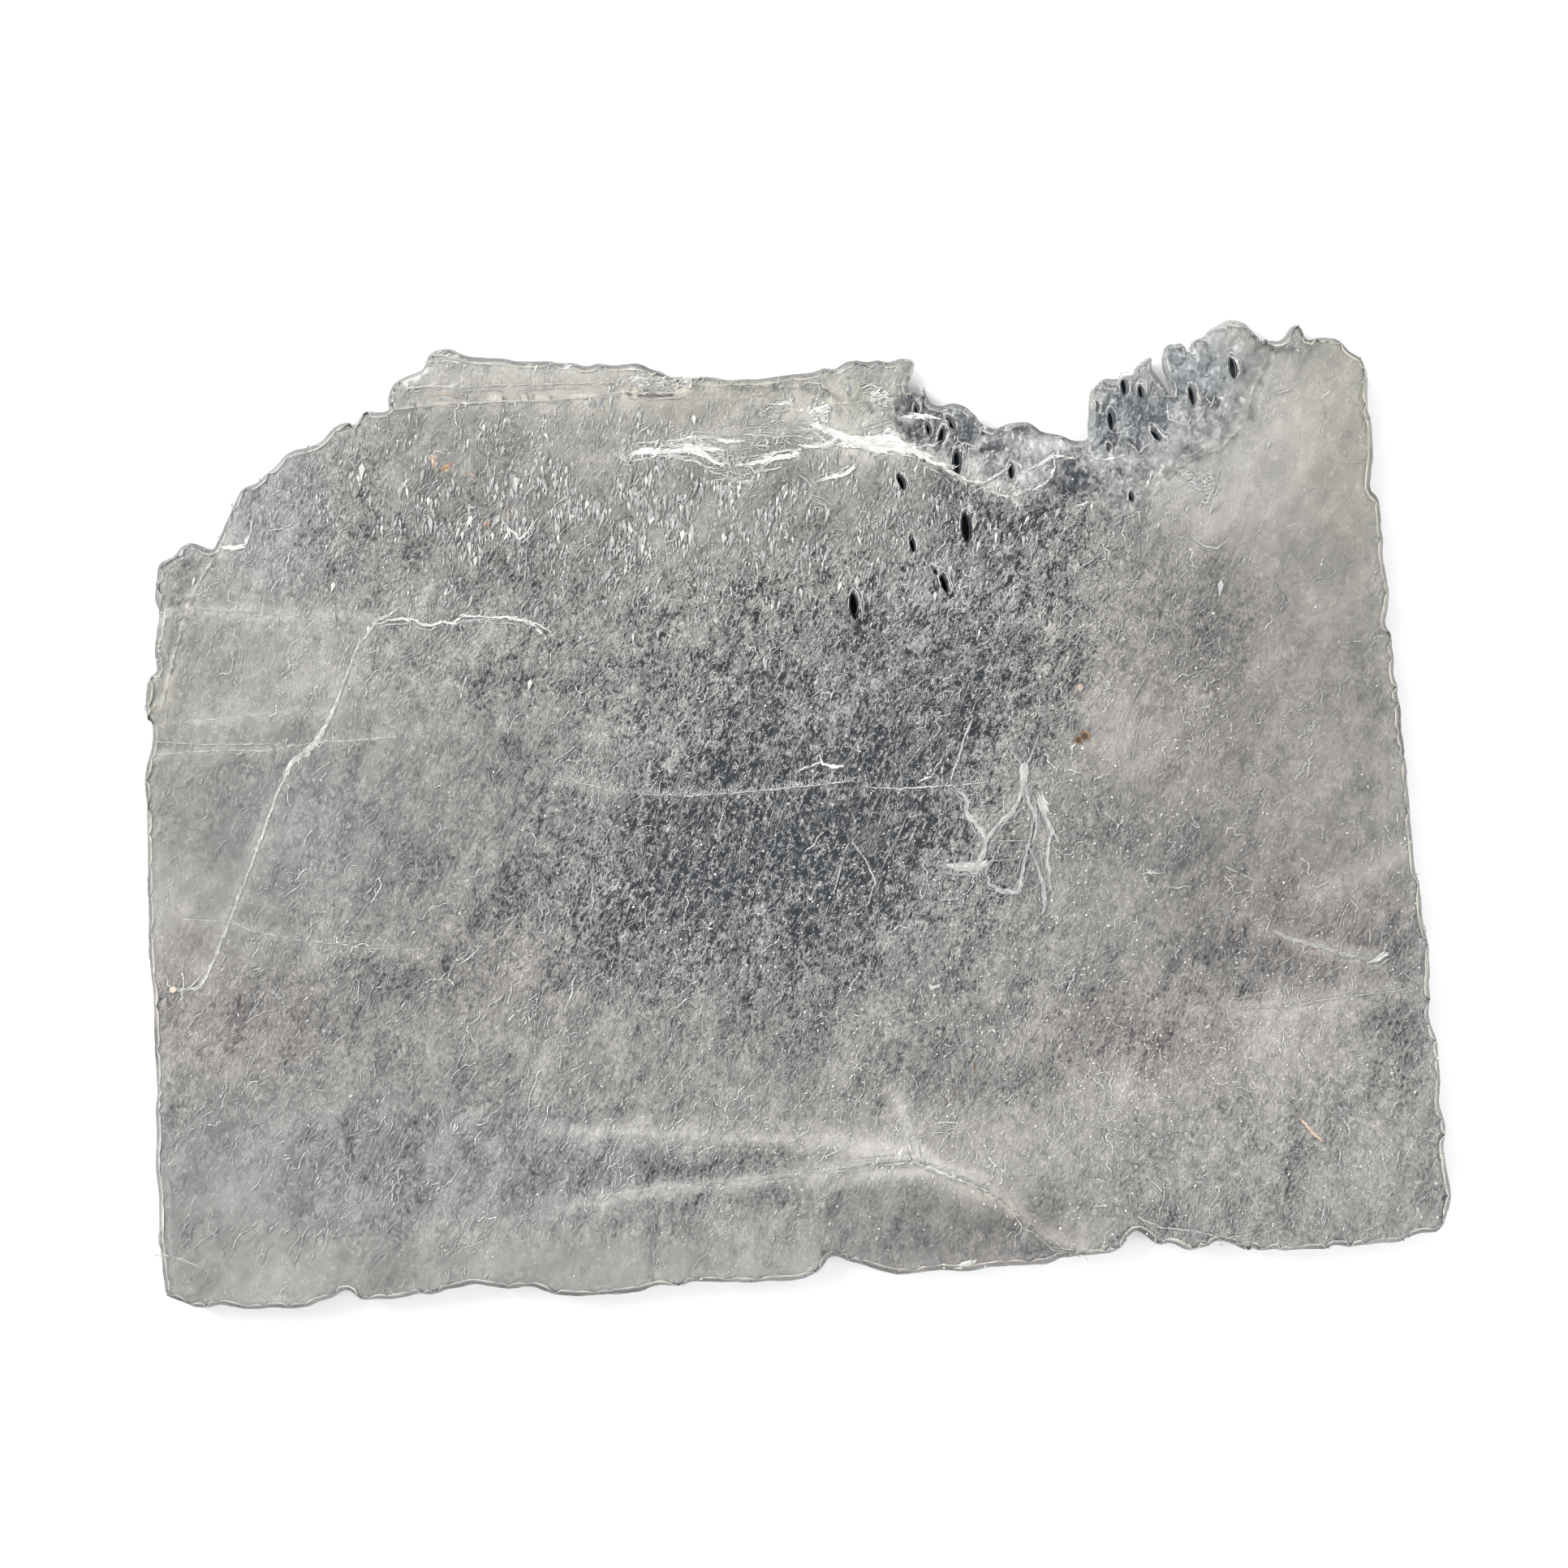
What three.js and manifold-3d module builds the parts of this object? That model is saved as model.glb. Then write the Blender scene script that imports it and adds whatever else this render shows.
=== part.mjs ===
// A natural slab of selenite, the clear crystal form of gypsum, lying on its lower cleavage face.
//
// The slab is one crystal. It was split along its perfect cleavage, so both faces are flat, and it is
// made of thin cleavage sheets that broke off a little differently: a foot sheet, a middle sheet that
// reaches the whole rim, and a crown sheet that stops short of the rim in places and leaves ledges.
// A shell-shaped scoop is missing at the near edge. The far right corner has been dissolved by water
// into a thin, ragged tongue, and lens-shaped solution pits sink into the crown around it.
//
// Millimetres. X runs along the slab, Y across it and Z through its thickness. The origin is on the
// lower face, under the middle of the slab's outline.

import * as THREE from "three";
import { mergeVertices } from "three/addons/utils/BufferGeometryUtils.js";
import Module from "manifold-3d";

// ---- Driving dimensions ----

const SLAB_WIDTH = 282; // along X, over the whole rim
const SLAB_THICKNESS = 14; // lower cleavage face to crown
const FOOT_TOP = 4.6; // the foot sheet's upper face
const MIDDLE_TOP = 10.6; // the middle sheet's upper face, seen on the ledges
const FOOT_DRAWN_IN = 0.008; // how far the foot's outline lies inside the rim, as a share of its radius
const CROWN_DRAWN_IN = 0.004; // the same for the crown
const FOOT_TOLERANCE = 0.75; // the foot broke more simply than the rim: corners under this are missing
const MIDDLE_TOLERANCE = 0.18;
const CROWN_TOLERANCE = 0.4;
const PIT_FLOOR = 2.5; // how high above the lower face the solution pits stop
const PIT_SIDES = 10;
const CUT_TOP = SLAB_THICKNESS + 4; // cutters reach past the crown

// The shell-shaped scoop: its floor leaves the crown at the top of the arc and falls towards the rim.
const SCOOP = { high: 12.8, start: [1131, 1432], fall: [0.1, 1], slope: 0.1 };
// The dissolved corner: its floor falls from the sound crystal towards the far edge.
const ETCHED = { high: 13.2, start: [1330, 650], fall: [0.12, -1], slope: 0.16 };

// ---- Outlines, on the slab's plotting grid ----
// x counts to the right and y counts down, from the grid's far left corner. The grid's step follows
// from the slab's width.

// The rim, clockwise seen from above, in stretches that each begin where the last one ends.
const LEFT_TAB = [
  [192, 694], [201, 688], [211, 687], [220, 674], [228, 668], [234, 666], [240, 670], [248, 675],
  [252, 678], [261, 678], [265, 672],
];
const SHOULDER = [
  [270, 658], [276, 645], [282, 630], [288, 617], [293, 605], [299, 599], [314, 595], [321, 587],
  [331, 579], [341, 570], [346, 562], [358, 554], [379, 550], [395, 543], [401, 535], [407, 528],
  [415, 522], [427, 518], [432, 520], [433, 529], [438, 521], [442, 512], [446, 506], [452, 504],
  [459, 507], [469, 506], [479, 506],
];
const FAR_LEDGE = [
  [480, 501], [475, 494], [479, 482], [483, 471], [492, 465], [504, 461], [510, 457], [520, 456],
  [523, 448], [525, 438], [530, 432], [541, 430], [549, 427], [560, 429], [563, 433], [577, 438],
  [601, 439], [622, 440], [638, 444], [678, 443], [689, 446], [709, 445], [721, 451], [729, 447],
  [741, 445], [747, 448], [761, 448], [771, 446], [791, 447], [802, 454], [814, 455], [822, 462],
  [828, 464], [842, 462], [850, 465], [868, 461], [872, 464], [883, 463], [889, 466], [901, 467],
  [918, 465], [938, 465], [958, 462], [981, 459], [999, 458], [1009, 453], [1019, 450], [1024, 455],
  [1031, 453], [1039, 446], [1049, 443], [1060, 442], [1066, 446], [1077, 442], [1085, 442],
  [1094, 446], [1103, 442], [1116, 439], [1126, 440], [1129, 442], [1128, 451], [1124, 463],
  [1116, 478],
];
const ETCHED_BAY = [
  [1121, 481], [1133, 484], [1136, 488], [1137, 482], [1139, 473], [1141, 482], [1144, 489],
  [1145, 494], [1152, 499], [1161, 498], [1168, 497], [1173, 494], [1181, 497], [1192, 499],
  [1197, 506], [1203, 508], [1204, 514], [1208, 519], [1213, 523], [1222, 525], [1227, 529],
  [1232, 527], [1235, 522], [1244, 520], [1256, 518], [1269, 518], [1276, 523], [1282, 530],
  [1292, 532], [1301, 534], [1311, 535], [1317, 540], [1324, 542], [1338, 542], [1345, 540],
];
const ETCHED_TONGUE = [
  [1346, 534], [1343, 526], [1342, 519], [1344, 510], [1346, 500], [1348, 490], [1348, 482],
  [1346, 477], [1351, 473], [1356, 474], [1357, 466], [1364, 463], [1378, 466], [1382, 462],
  [1389, 458], [1395, 461], [1401, 464], [1403, 456], [1401, 448], [1409, 442], [1416, 439],
  [1421, 435], [1422, 440], [1419, 450], [1427, 460], [1437, 474], [1444, 489], [1449, 479],
  [1445, 469], [1440, 460], [1440, 444], [1436, 442], [1437, 434], [1439, 422], [1446, 420],
  [1460, 419], [1463, 425], [1466, 435], [1470, 443], [1473, 433], [1474, 426], [1472, 416],
  [1478, 413], [1484, 415], [1489, 406], [1497, 399], [1506, 397], [1511, 391], [1523, 389],
  [1528, 392], [1537, 393], [1541, 400], [1546, 405], [1552, 406], [1553, 416], [1557, 422],
  [1559, 415], [1564, 413], [1568, 420],
];
const FAR_CORNER = [
  [1583, 418], [1587, 410], [1593, 400], [1599, 398], [1605, 403], [1608, 412], [1611, 420],
  [1617, 416], [1631, 413], [1652, 417], [1660, 428], [1669, 435], [1679, 439],
];
const RIGHT_END = [
  [1684, 450], [1686, 467], [1687, 506], [1692, 518], [1694, 559], [1691, 580], [1688, 597],
  [1688, 604], [1700, 612], [1702, 622], [1704, 638], [1703, 654], [1707, 661], [1707, 672],
  [1705, 682], [1709, 705], [1714, 730], [1712, 751], [1707, 768], [1718, 783], [1716, 792],
  [1720, 808], [1719, 833], [1724, 842], [1722, 858], [1725, 863], [1727, 877], [1727, 903],
  [1731, 914], [1731, 928], [1736, 943], [1735, 963], [1738, 978], [1739, 1011], [1742, 1028],
  [1743, 1047], [1745, 1069], [1751, 1091], [1754, 1128], [1759, 1149], [1763, 1167], [1764, 1204],
  [1761, 1219], [1766, 1228], [1762, 1248], [1766, 1267], [1773, 1280], [1775, 1310], [1777, 1333],
  [1775, 1361], [1778, 1372], [1783, 1384], [1784, 1396], [1780, 1413], [1785, 1443], [1786, 1455],
  [1790, 1473], [1788, 1487], [1780, 1511], [1775, 1517],
];
const NEAR_EDGE_RIGHT = [
  [1763, 1522], [1748, 1520], [1745, 1525], [1735, 1525], [1733, 1530], [1719, 1533], [1701, 1533],
  [1680, 1537], [1673, 1535], [1666, 1539], [1657, 1538], [1647, 1535], [1641, 1536], [1639, 1541],
  [1604, 1541], [1579, 1543], [1575, 1539], [1566, 1541], [1553, 1543], [1547, 1541], [1543, 1534],
  [1541, 1543], [1528, 1539], [1516, 1532], [1497, 1530], [1491, 1538], [1481, 1538], [1469, 1543],
  [1457, 1540], [1444, 1532], [1437, 1533], [1429, 1537], [1419, 1531], [1413, 1523], [1400, 1516],
  [1393, 1522], [1388, 1532], [1377, 1543], [1356, 1547], [1327, 1549], [1302, 1553], [1296, 1559],
  [1268, 1561], [1215, 1563], [1206, 1567], [1186, 1569], [1165, 1566], [1148, 1569], [1107, 1573],
  [1089, 1569], [1074, 1565], [1061, 1559], [1045, 1556], [1033, 1550], [1024, 1548],
];
const NEAR_EDGE_LEFT = [
  [1018, 1557], [1012, 1565], [1008, 1571], [998, 1572], [995, 1577], [980, 1579], [943, 1580],
  [921, 1583], [909, 1581], [891, 1582], [851, 1580], [840, 1587], [829, 1587], [812, 1585],
  [801, 1588], [796, 1591], [771, 1595], [744, 1596], [713, 1599], [682, 1596], [673, 1593],
  [661, 1588], [649, 1586], [629, 1590], [606, 1587], [580, 1583], [572, 1587], [550, 1590],
  [532, 1597], [513, 1595], [500, 1600], [480, 1603], [464, 1602], [445, 1604], [438, 1600],
  [430, 1590], [421, 1591], [412, 1600], [402, 1602], [389, 1606], [378, 1612], [358, 1614],
  [338, 1612], [319, 1615], [298, 1615], [284, 1612], [271, 1608], [263, 1612], [251, 1614],
  [235, 1612], [220, 1604], [203, 1598],
];
const LEFT_END = [
  [200, 1582], [197, 1560], [194, 1530], [195, 1506], [194, 1471], [189, 1439], [191, 1401],
  [189, 1365], [192, 1348], [189, 1301], [188, 1260], [187, 1222], [183, 1195], [181, 1160],
  [182, 1124], [180, 1086], [179, 1035], [179, 992], [178, 974], [176, 961], [178, 951], [180, 938],
  [185, 925], [187, 910], [186, 891],
];
const LEFT_LEDGE = [
  [181, 889], [178, 884], [177, 868], [179, 854], [180, 837], [182, 832], [190, 830], [192, 822],
  [189, 817], [189, 795], [191, 781], [193, 765], [196, 754], [191, 747], [189, 732], [191, 716],
];

// Where the crown stops short of the rim, and the ledges begin.
const CROWN_STEP_LEFT = [[200, 868], [205, 850], [214, 810], [224, 775], [235, 740], [250, 706], [262, 686]];
const CROWN_STEP_FAR = [
  [478, 505], [536, 499], [570, 497], [638, 494], [684, 494], [730, 489], [771, 485], [820, 485],
  [851, 483], [854, 473], [897, 478], [966, 476], [1010, 478], [1022, 481], [1022, 498], [1050, 496],
  [1073, 494], [1075, 505], [1096, 504], [1103, 489], [1114, 480],
];

// What the two tapering cuts take away from the crown, seen from above. Both reach past the rim.
const SCOOP_OUTLINE = [
  [1040, 1442], [1066, 1437], [1101, 1435], [1131, 1432], [1156, 1444], [1187, 1456], [1214, 1467],
  [1230, 1478], [1245, 1490], [1257, 1508], [1278, 1523], [1297, 1539], [1336, 1545], [1344, 1620],
  [990, 1620], [1016, 1550], [1020, 1500], [1030, 1466],
];
const ETCHED_OUTLINE = [
  [1112, 470], [1104, 505], [1112, 545], [1146, 566], [1168, 590], [1206, 604], [1246, 618],
  [1262, 604], [1290, 588], [1330, 610], [1372, 640], [1410, 624], [1436, 590], [1470, 566],
  [1506, 552], [1534, 520], [1546, 476], [1562, 440], [1576, 400], [1576, 340], [1130, 340],
];

// The solution pits: middle, length, width, and how far the top end leans to the left, in degrees.
const PITS = [
  { at: [1052, 747], length: 34, width: 12, lean: 14 },
  { at: [1158, 715], length: 26, width: 9, lean: 24 },
  { at: [1190, 650], length: 36, width: 14, lean: 10 },
  { at: [1125, 670], length: 20, width: 7, lean: 16 },
  { at: [1110, 592], length: 24, width: 8, lean: 28 },
  { at: [1179, 570], length: 32, width: 12, lean: 4 },
  { at: [1247, 581], length: 18, width: 7, lean: 12 },
  { at: [1129, 505], length: 15, width: 6, lean: 4 },
  { at: [1144, 528], length: 15, width: 6, lean: 12 },
  { at: [1160, 536], length: 22, width: 8, lean: 4 },
  { at: [1171, 520], length: 19, width: 6, lean: 32 },
  { at: [1370, 516], length: 22, width: 7, lean: 8 },
  { at: [1385, 474], length: 20, width: 7, lean: -8 },
  { at: [1407, 483], length: 15, width: 6, lean: 10 },
  { at: [1426, 535], length: 18, width: 7, lean: 45 },
  { at: [1469, 487], length: 26, width: 7, lean: 14 },
  { at: [1521, 451], length: 26, width: 9, lean: 12 },
  { at: [1394, 612], length: 12, width: 5, lean: 16 },
];

// ---- From the grid to millimetres ----

const RIM = [
  ...LEFT_TAB, ...SHOULDER, ...FAR_LEDGE, ...ETCHED_BAY, ...ETCHED_TONGUE, ...FAR_CORNER,
  ...RIGHT_END, ...NEAR_EDGE_RIGHT, ...NEAR_EDGE_LEFT, ...LEFT_END, ...LEFT_LEDGE,
];
const CROWN_RIM = [
  ...CROWN_STEP_LEFT, ...SHOULDER.slice(0, -1), ...CROWN_STEP_FAR, ...ETCHED_BAY, ...ETCHED_TONGUE,
  ...FAR_CORNER, ...RIGHT_END, ...NEAR_EDGE_RIGHT, ...NEAR_EDGE_LEFT, ...LEFT_END,
];
const rimBox = new THREE.Box2().setFromPoints(RIM.map(([x, y]) => new THREE.Vector2(x, y)));
const rimMiddle = rimBox.getCenter(new THREE.Vector2());
const GRID_STEP = SLAB_WIDTH / (rimBox.max.x - rimBox.min.x);

// A point of the plotting grid in the slab's own frame.
function place([x, y]) {
  return new THREE.Vector2((x - rimMiddle.x) * GRID_STEP, (rimMiddle.y - y) * GRID_STEP);
}

// How far a point lies from the straight line between two others.
function offLine(point, start, end) {
  const along = end.clone().sub(start);
  const length = along.length();
  if (length === 0) return point.distanceTo(start);
  return Math.abs(along.cross(point.clone().sub(start))) / length;
}

// The same open run of points without the corners that stand out by less than the tolerance.
function thinnedRun(points, tolerance) {
  let farthest = 0;
  let distance = 0;
  for (let i = 1; i < points.length - 1; i += 1) {
    const off = offLine(points[i], points[0], points[points.length - 1]);
    if (off > distance) [farthest, distance] = [i, off];
  }
  if (distance < tolerance) return [points[0], points[points.length - 1]];
  const head = thinnedRun(points.slice(0, farthest + 1), tolerance);
  return [...head.slice(0, -1), ...thinnedRun(points.slice(farthest), tolerance)];
}

// A closed outline in millimetres, simplified and drawn in towards the slab's middle.
function outline(gridPoints, { tolerance = 0, drawnIn = 0 } = {}) {
  const points = gridPoints.map(place);
  const half = Math.floor(points.length / 2);
  const first = thinnedRun(points.slice(0, half + 1), tolerance);
  const second = thinnedRun([...points.slice(half), points[0]], tolerance);
  return [...first.slice(0, -1), ...second.slice(0, -1)].map((p) => p.multiplyScalar(1 - drawnIn));
}

// ---- Solids ----

const wasm = await Module();
wasm.setup();

// A closed three.js geometry as a solid that can be joined and cut.
function solidOf(geometry) {
  const bare = geometry.clone();
  bare.deleteAttribute("normal");
  bare.deleteAttribute("uv");
  const merged = mergeVertices(bare, 1e-4);
  return new wasm.Manifold(
    new wasm.Mesh({
      numProp: 3,
      vertProperties: merged.attributes.position.array,
      triVerts: new Uint32Array(merged.index.array),
    }),
  );
}

// A joined or cut solid as a three.js geometry.
function geometryOf(solid) {
  const mesh = solid.getMesh();
  const geometry = new THREE.BufferGeometry();
  geometry.setAttribute("position", new THREE.BufferAttribute(mesh.vertProperties, 3));
  geometry.setIndex(new THREE.BufferAttribute(mesh.triVerts, 1));
  geometry.computeVertexNormals();
  return geometry;
}

// An upright prism on an outline.
function prism(points, bottom, top) {
  const shape = new THREE.Shape(points);
  return new THREE.ExtrudeGeometry(shape, { depth: top - bottom, bevelEnabled: false }).translate(0, 0, bottom);
}

// What a tapering cut removes: a prism whose floor falls away from its start at the given slope.
function taperedCut(gridPoints, { high, start, fall, slope }) {
  const geometry = prism(gridPoints.map(place), 0, CUT_TOP);
  const origin = place(start);
  const direction = new THREE.Vector2(fall[0], -fall[1]).normalize();
  const position = geometry.attributes.position;
  for (let i = 0; i < position.count; i += 1) {
    if (position.getZ(i) > CUT_TOP / 2) continue;
    const corner = new THREE.Vector2(position.getX(i), position.getY(i));
    position.setZ(i, high - slope * corner.sub(origin).dot(direction));
  }
  return solidOf(geometry);
}

// One solution pit: a lens-shaped shaft, pointed at both ends, open at the crown.
function pitCut({ at, length, width, lean }) {
  const points = [];
  for (let i = 0; i < PIT_SIDES; i += 1) {
    const turn = (i / PIT_SIDES) * 2 * Math.PI;
    const along = Math.cos(turn);
    const across = Math.sin(turn) * Math.sqrt(1 - 0.6 * along * along);
    points.push(new THREE.Vector2((across * width) / 2, (along * length) / 2).multiplyScalar(GRID_STEP));
  }
  const middle = place(at);
  const leaning = THREE.MathUtils.degToRad(lean);
  const turned = points.map((p) => p.rotateAround(new THREE.Vector2(), leaning).add(middle));
  return solidOf(prism(turned.reverse(), PIT_FLOOR, CUT_TOP));
}

// The whole crystal: three cleavage sheets joined, less the scoop, the dissolved corner and the pits.
function slabSolid() {
  const foot = outline(RIM, { tolerance: FOOT_TOLERANCE, drawnIn: FOOT_DRAWN_IN });
  const middle = outline(RIM, { tolerance: MIDDLE_TOLERANCE });
  const crown = outline(CROWN_RIM, { tolerance: CROWN_TOLERANCE, drawnIn: CROWN_DRAWN_IN });
  const sheets = [
    solidOf(prism(foot, 0, MIDDLE_TOP)),
    solidOf(prism(middle, FOOT_TOP, MIDDLE_TOP)),
    solidOf(prism(crown, FOOT_TOP, SLAB_THICKNESS)),
  ];
  const cuts = [taperedCut(SCOOP_OUTLINE, SCOOP), taperedCut(ETCHED_OUTLINE, ETCHED), ...PITS.map(pitCut)];
  return wasm.Manifold.union(sheets).subtract(wasm.Manifold.union(cuts));
}

// ---- The slab ----

const seleniteMaterial = new THREE.MeshStandardMaterial({
  color: 0x9c9d9b,
  roughness: 0.3,
  metalness: 0,
  transparent: true,
  opacity: 0.8,
});

const seleniteSlab = new THREE.Mesh(geometryOf(slabSolid()), seleniteMaterial);
seleniteSlab.name = "selenite_slab";

const specimen = new THREE.Group();
specimen.add(seleniteSlab);

export default specimen;
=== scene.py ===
"""The looks of a natural selenite slab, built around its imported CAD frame.

The slab is a clear to cloudy cleavage plate of gypsum. A fine crystal skin stands for the CAD solid, and
what nature sealed in the crystal is made as meshes inside it: milky veils, feathery fractures, cracks,
a torn white fracture band and iron stains. Lengths are in metres unless a name says millimetres.
"""

from __future__ import annotations

import logging
import math
from dataclasses import dataclass, field, replace
from enum import Enum
from typing import Callable, NamedTuple, Sequence

import bmesh
import bpy
import numpy as np
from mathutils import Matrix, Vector, geometry

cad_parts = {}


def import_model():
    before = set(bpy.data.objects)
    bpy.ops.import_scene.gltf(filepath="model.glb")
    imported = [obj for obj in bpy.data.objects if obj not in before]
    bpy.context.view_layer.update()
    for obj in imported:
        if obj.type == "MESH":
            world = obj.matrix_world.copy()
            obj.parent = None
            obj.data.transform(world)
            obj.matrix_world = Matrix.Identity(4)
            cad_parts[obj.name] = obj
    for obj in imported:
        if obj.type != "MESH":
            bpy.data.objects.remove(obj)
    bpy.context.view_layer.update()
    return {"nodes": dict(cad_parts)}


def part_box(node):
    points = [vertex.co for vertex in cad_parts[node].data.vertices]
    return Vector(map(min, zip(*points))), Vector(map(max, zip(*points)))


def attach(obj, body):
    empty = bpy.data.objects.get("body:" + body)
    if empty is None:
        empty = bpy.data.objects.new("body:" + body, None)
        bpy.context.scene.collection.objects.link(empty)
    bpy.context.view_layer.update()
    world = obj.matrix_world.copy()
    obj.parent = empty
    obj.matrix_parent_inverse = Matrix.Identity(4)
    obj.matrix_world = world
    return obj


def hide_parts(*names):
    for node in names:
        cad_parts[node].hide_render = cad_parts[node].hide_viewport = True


LOG = logging.getLogger("selenite_slab")
MM = 0.001
NODE = "selenite_slab"
BODY = "root"
NOISE_LEAN = -22
SEED_LIMIT = 1 << 30
Points = np.ndarray
Random = np.random.Generator
Piece = bpy.types.Object
Socket = bpy.types.NodeSocket
Tree = bpy.types.NodeTree
Pair = tuple[float, float]
Triple = tuple[float, float, float]


class Slot(Enum):
    """The record's material slots."""

    CRYSTAL = "selenite"
    WHITE = "white_fracture"
    IRON = "iron_stain"
    PIT = "pit_shadow"


# ---- The plotting grid, noise and outlines ----


@dataclass(frozen=True)
class PlotGrid:
    """The square grid on which the slab's marks are plotted: x counts to the right, y counts down.

    Attributes:
        width: The slab's length along X, in metres, from the frame.
        span: How many grid steps the rim spans along X.
        middle: The grid point that lies over the frame's origin.
    """

    width: float
    span: float = 1614.0
    middle: Pair = (983.0, 1002.0)

    @property
    def step(self) -> float:
        """One grid step in metres."""
        return self.width / self.span

    def places(self, plotted: Points | Sequence[float]) -> Points:
        """Plan positions in metres for grid points, given as rows or as x and y in turn."""
        spots = np.asarray(plotted, float).reshape(-1, 2)
        return np.column_stack([spots[:, 0] - self.middle[0], self.middle[1] - spots[:, 1]]) * self.step

    def plotted(self, places: Points) -> Points:
        """Grid points for plan positions in metres."""
        spots = np.asarray(places, float) / self.step
        return np.column_stack([spots[:, 0] + self.middle[0], self.middle[1] - spots[:, 1]])


@dataclass
class SmoothNoise:
    """Seeded value noise over the plan, from 0 to 1, with a mean near one half.

    Attributes:
        seed: The seed of the lattice.
        size: The size of a feature in metres, along the local x and y.
        turn: How far the local axes are turned, in degrees.
        octaves: How many finer layers are added, each half as large and half as strong.
    """

    seed: int
    size: Pair
    turn: float = 0.0
    octaves: int = 1
    lattice: Points = field(init=False, repr=False)

    CELLS = 256

    def __post_init__(self) -> None:
        """Draws the lattice."""
        self.lattice = np.random.default_rng(self.seed).random((self.CELLS, self.CELLS))

    def _layer(self, u: Points, v: Points) -> Points:
        """One octave, smoothly interpolated.

        Args:
            u: Lattice coordinates along the first axis.
            v: Lattice coordinates along the second axis.

        Returns:
            Values from 0 to 1.
        """
        cell_u, cell_v = np.floor(u).astype(int), np.floor(v).astype(int)
        fade_u, fade_v = u - cell_u, v - cell_v
        fade_u, fade_v = (w * w * (3 - 2 * w) for w in (fade_u, fade_v))
        a, b = cell_u % self.CELLS, cell_v % self.CELLS
        a1, b1 = (a + 1) % self.CELLS, (b + 1) % self.CELLS
        low = self.lattice[a, b] * (1 - fade_u) + self.lattice[a1, b] * fade_u
        high = self.lattice[a, b1] * (1 - fade_u) + self.lattice[a1, b1] * fade_u
        return low * (1 - fade_v) + high * fade_v

    def at(self, places: Points) -> Points:
        """The noise at plan positions.

        Args:
            places: An array of (x, y) in metres.

        Returns:
            Values from 0 to 1.
        """
        angle = math.radians(self.turn)
        x, y = places[:, 0], places[:, 1]
        u = (x * math.cos(angle) + y * math.sin(angle)) / self.size[0]
        v = (-x * math.sin(angle) + y * math.cos(angle)) / self.size[1]
        total, weight, share = np.zeros(len(x)), 0.0, 1.0
        for octave in range(self.octaves):
            shift = 37.7 * octave
            total += share * self._layer(u * 2**octave + shift, v * 2**octave - shift)
            weight += share
            share *= 0.5
        return total / weight


def inside(polygon: Points, places: Points) -> Points:
    """Which positions lie in a polygon.

    Args:
        polygon: The closed polygon's corners, without the first repeated.
        places: An array of (x, y).

    Returns:
        An array of true and false.
    """
    held = np.zeros(len(places), bool)
    low, high = polygon.min(0), polygon.max(0)
    near = np.flatnonzero(((places >= low) & (places <= high)).all(1))
    x, y = places[near, 0], places[near, 1]
    odd = np.zeros(len(near), bool)
    for (ax, ay), (bx, by) in zip(polygon, np.roll(polygon, -1, axis=0)):
        if ay == by:
            continue
        crosses = (ay > y) != (by > y)
        odd ^= crosses & (x < (bx - ax) * (y - ay) / (by - ay) + ax)
    held[near] = odd
    return held


def within(loop: Points, holes: Sequence[Points], places: Points) -> Points:
    """Which positions lie in a loop and in none of its holes.

    Args:
        loop: The closed loop's corners.
        holes: The corners of each closed hole.
        places: An array of (x, y).

    Returns:
        An array of true and false.
    """
    held = inside(loop, places)
    for hole in holes:
        held &= ~inside(hole, places)
    return held


def subdivided(points: Points, pitch: float, closed: bool) -> Points:
    """The same line with no segment longer than a pitch.

    Args:
        points: The line's corners.
        pitch: The longest segment allowed, in metres.
        closed: True if the last point joins the first.

    Returns:
        The corners with points added between them.
    """
    ends = np.roll(points, -1, axis=0) if closed else points[1:]
    starts = points if closed else points[:-1]
    pieces = []
    for start, end in zip(starts, ends):
        count = max(1, math.ceil(float(np.linalg.norm(end - start)) / pitch))
        pieces.append(start + (end - start) * (np.arange(count) / count)[:, None])
    if not closed:
        pieces.append(points[-1:])
    return np.vstack(pieces)


def distance_to(line: Points, places: Points) -> Points:
    """How far positions lie from an open line.

    Args:
        line: The line's corners.
        places: An array of (x, y).

    Returns:
        The distances.
    """
    nearest = np.full(len(places), np.inf)
    for start, end in zip(line, line[1:]):
        along = end - start
        share = np.clip((places - start) @ along / max(float(along @ along), 1e-18), 0, 1)
        gap = places - start - share[:, None] * along
        nearest = np.minimum(nearest, np.hypot(gap[:, 0], gap[:, 1]))
    return nearest


def reached_along(line: Points) -> Points:
    """How far along an open line each of its points lies."""
    return np.concatenate([[0], np.cumsum(np.linalg.norm(np.diff(line, axis=0), axis=1))])


def normals_of(points: Points, closed: bool, spread: int = 2) -> Points:
    """Unit normals to the left of a line, smoothed over a few points.

    Args:
        points: The line.
        closed: True if the last point joins the first.
        spread: How many points on each side are averaged.

    Returns:
        One unit normal a point.
    """
    if closed:
        ahead, behind = np.roll(points, -spread, axis=0), np.roll(points, spread, axis=0)
    else:
        index = np.arange(len(points))
        ahead = points[np.minimum(index + spread, len(points) - 1)]
        behind = points[np.maximum(index - spread, 0)]
    along = ahead - behind
    along /= np.maximum(np.linalg.norm(along, axis=1), 1e-12)[:, None]
    return np.column_stack([-along[:, 1], along[:, 0]])


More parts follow.
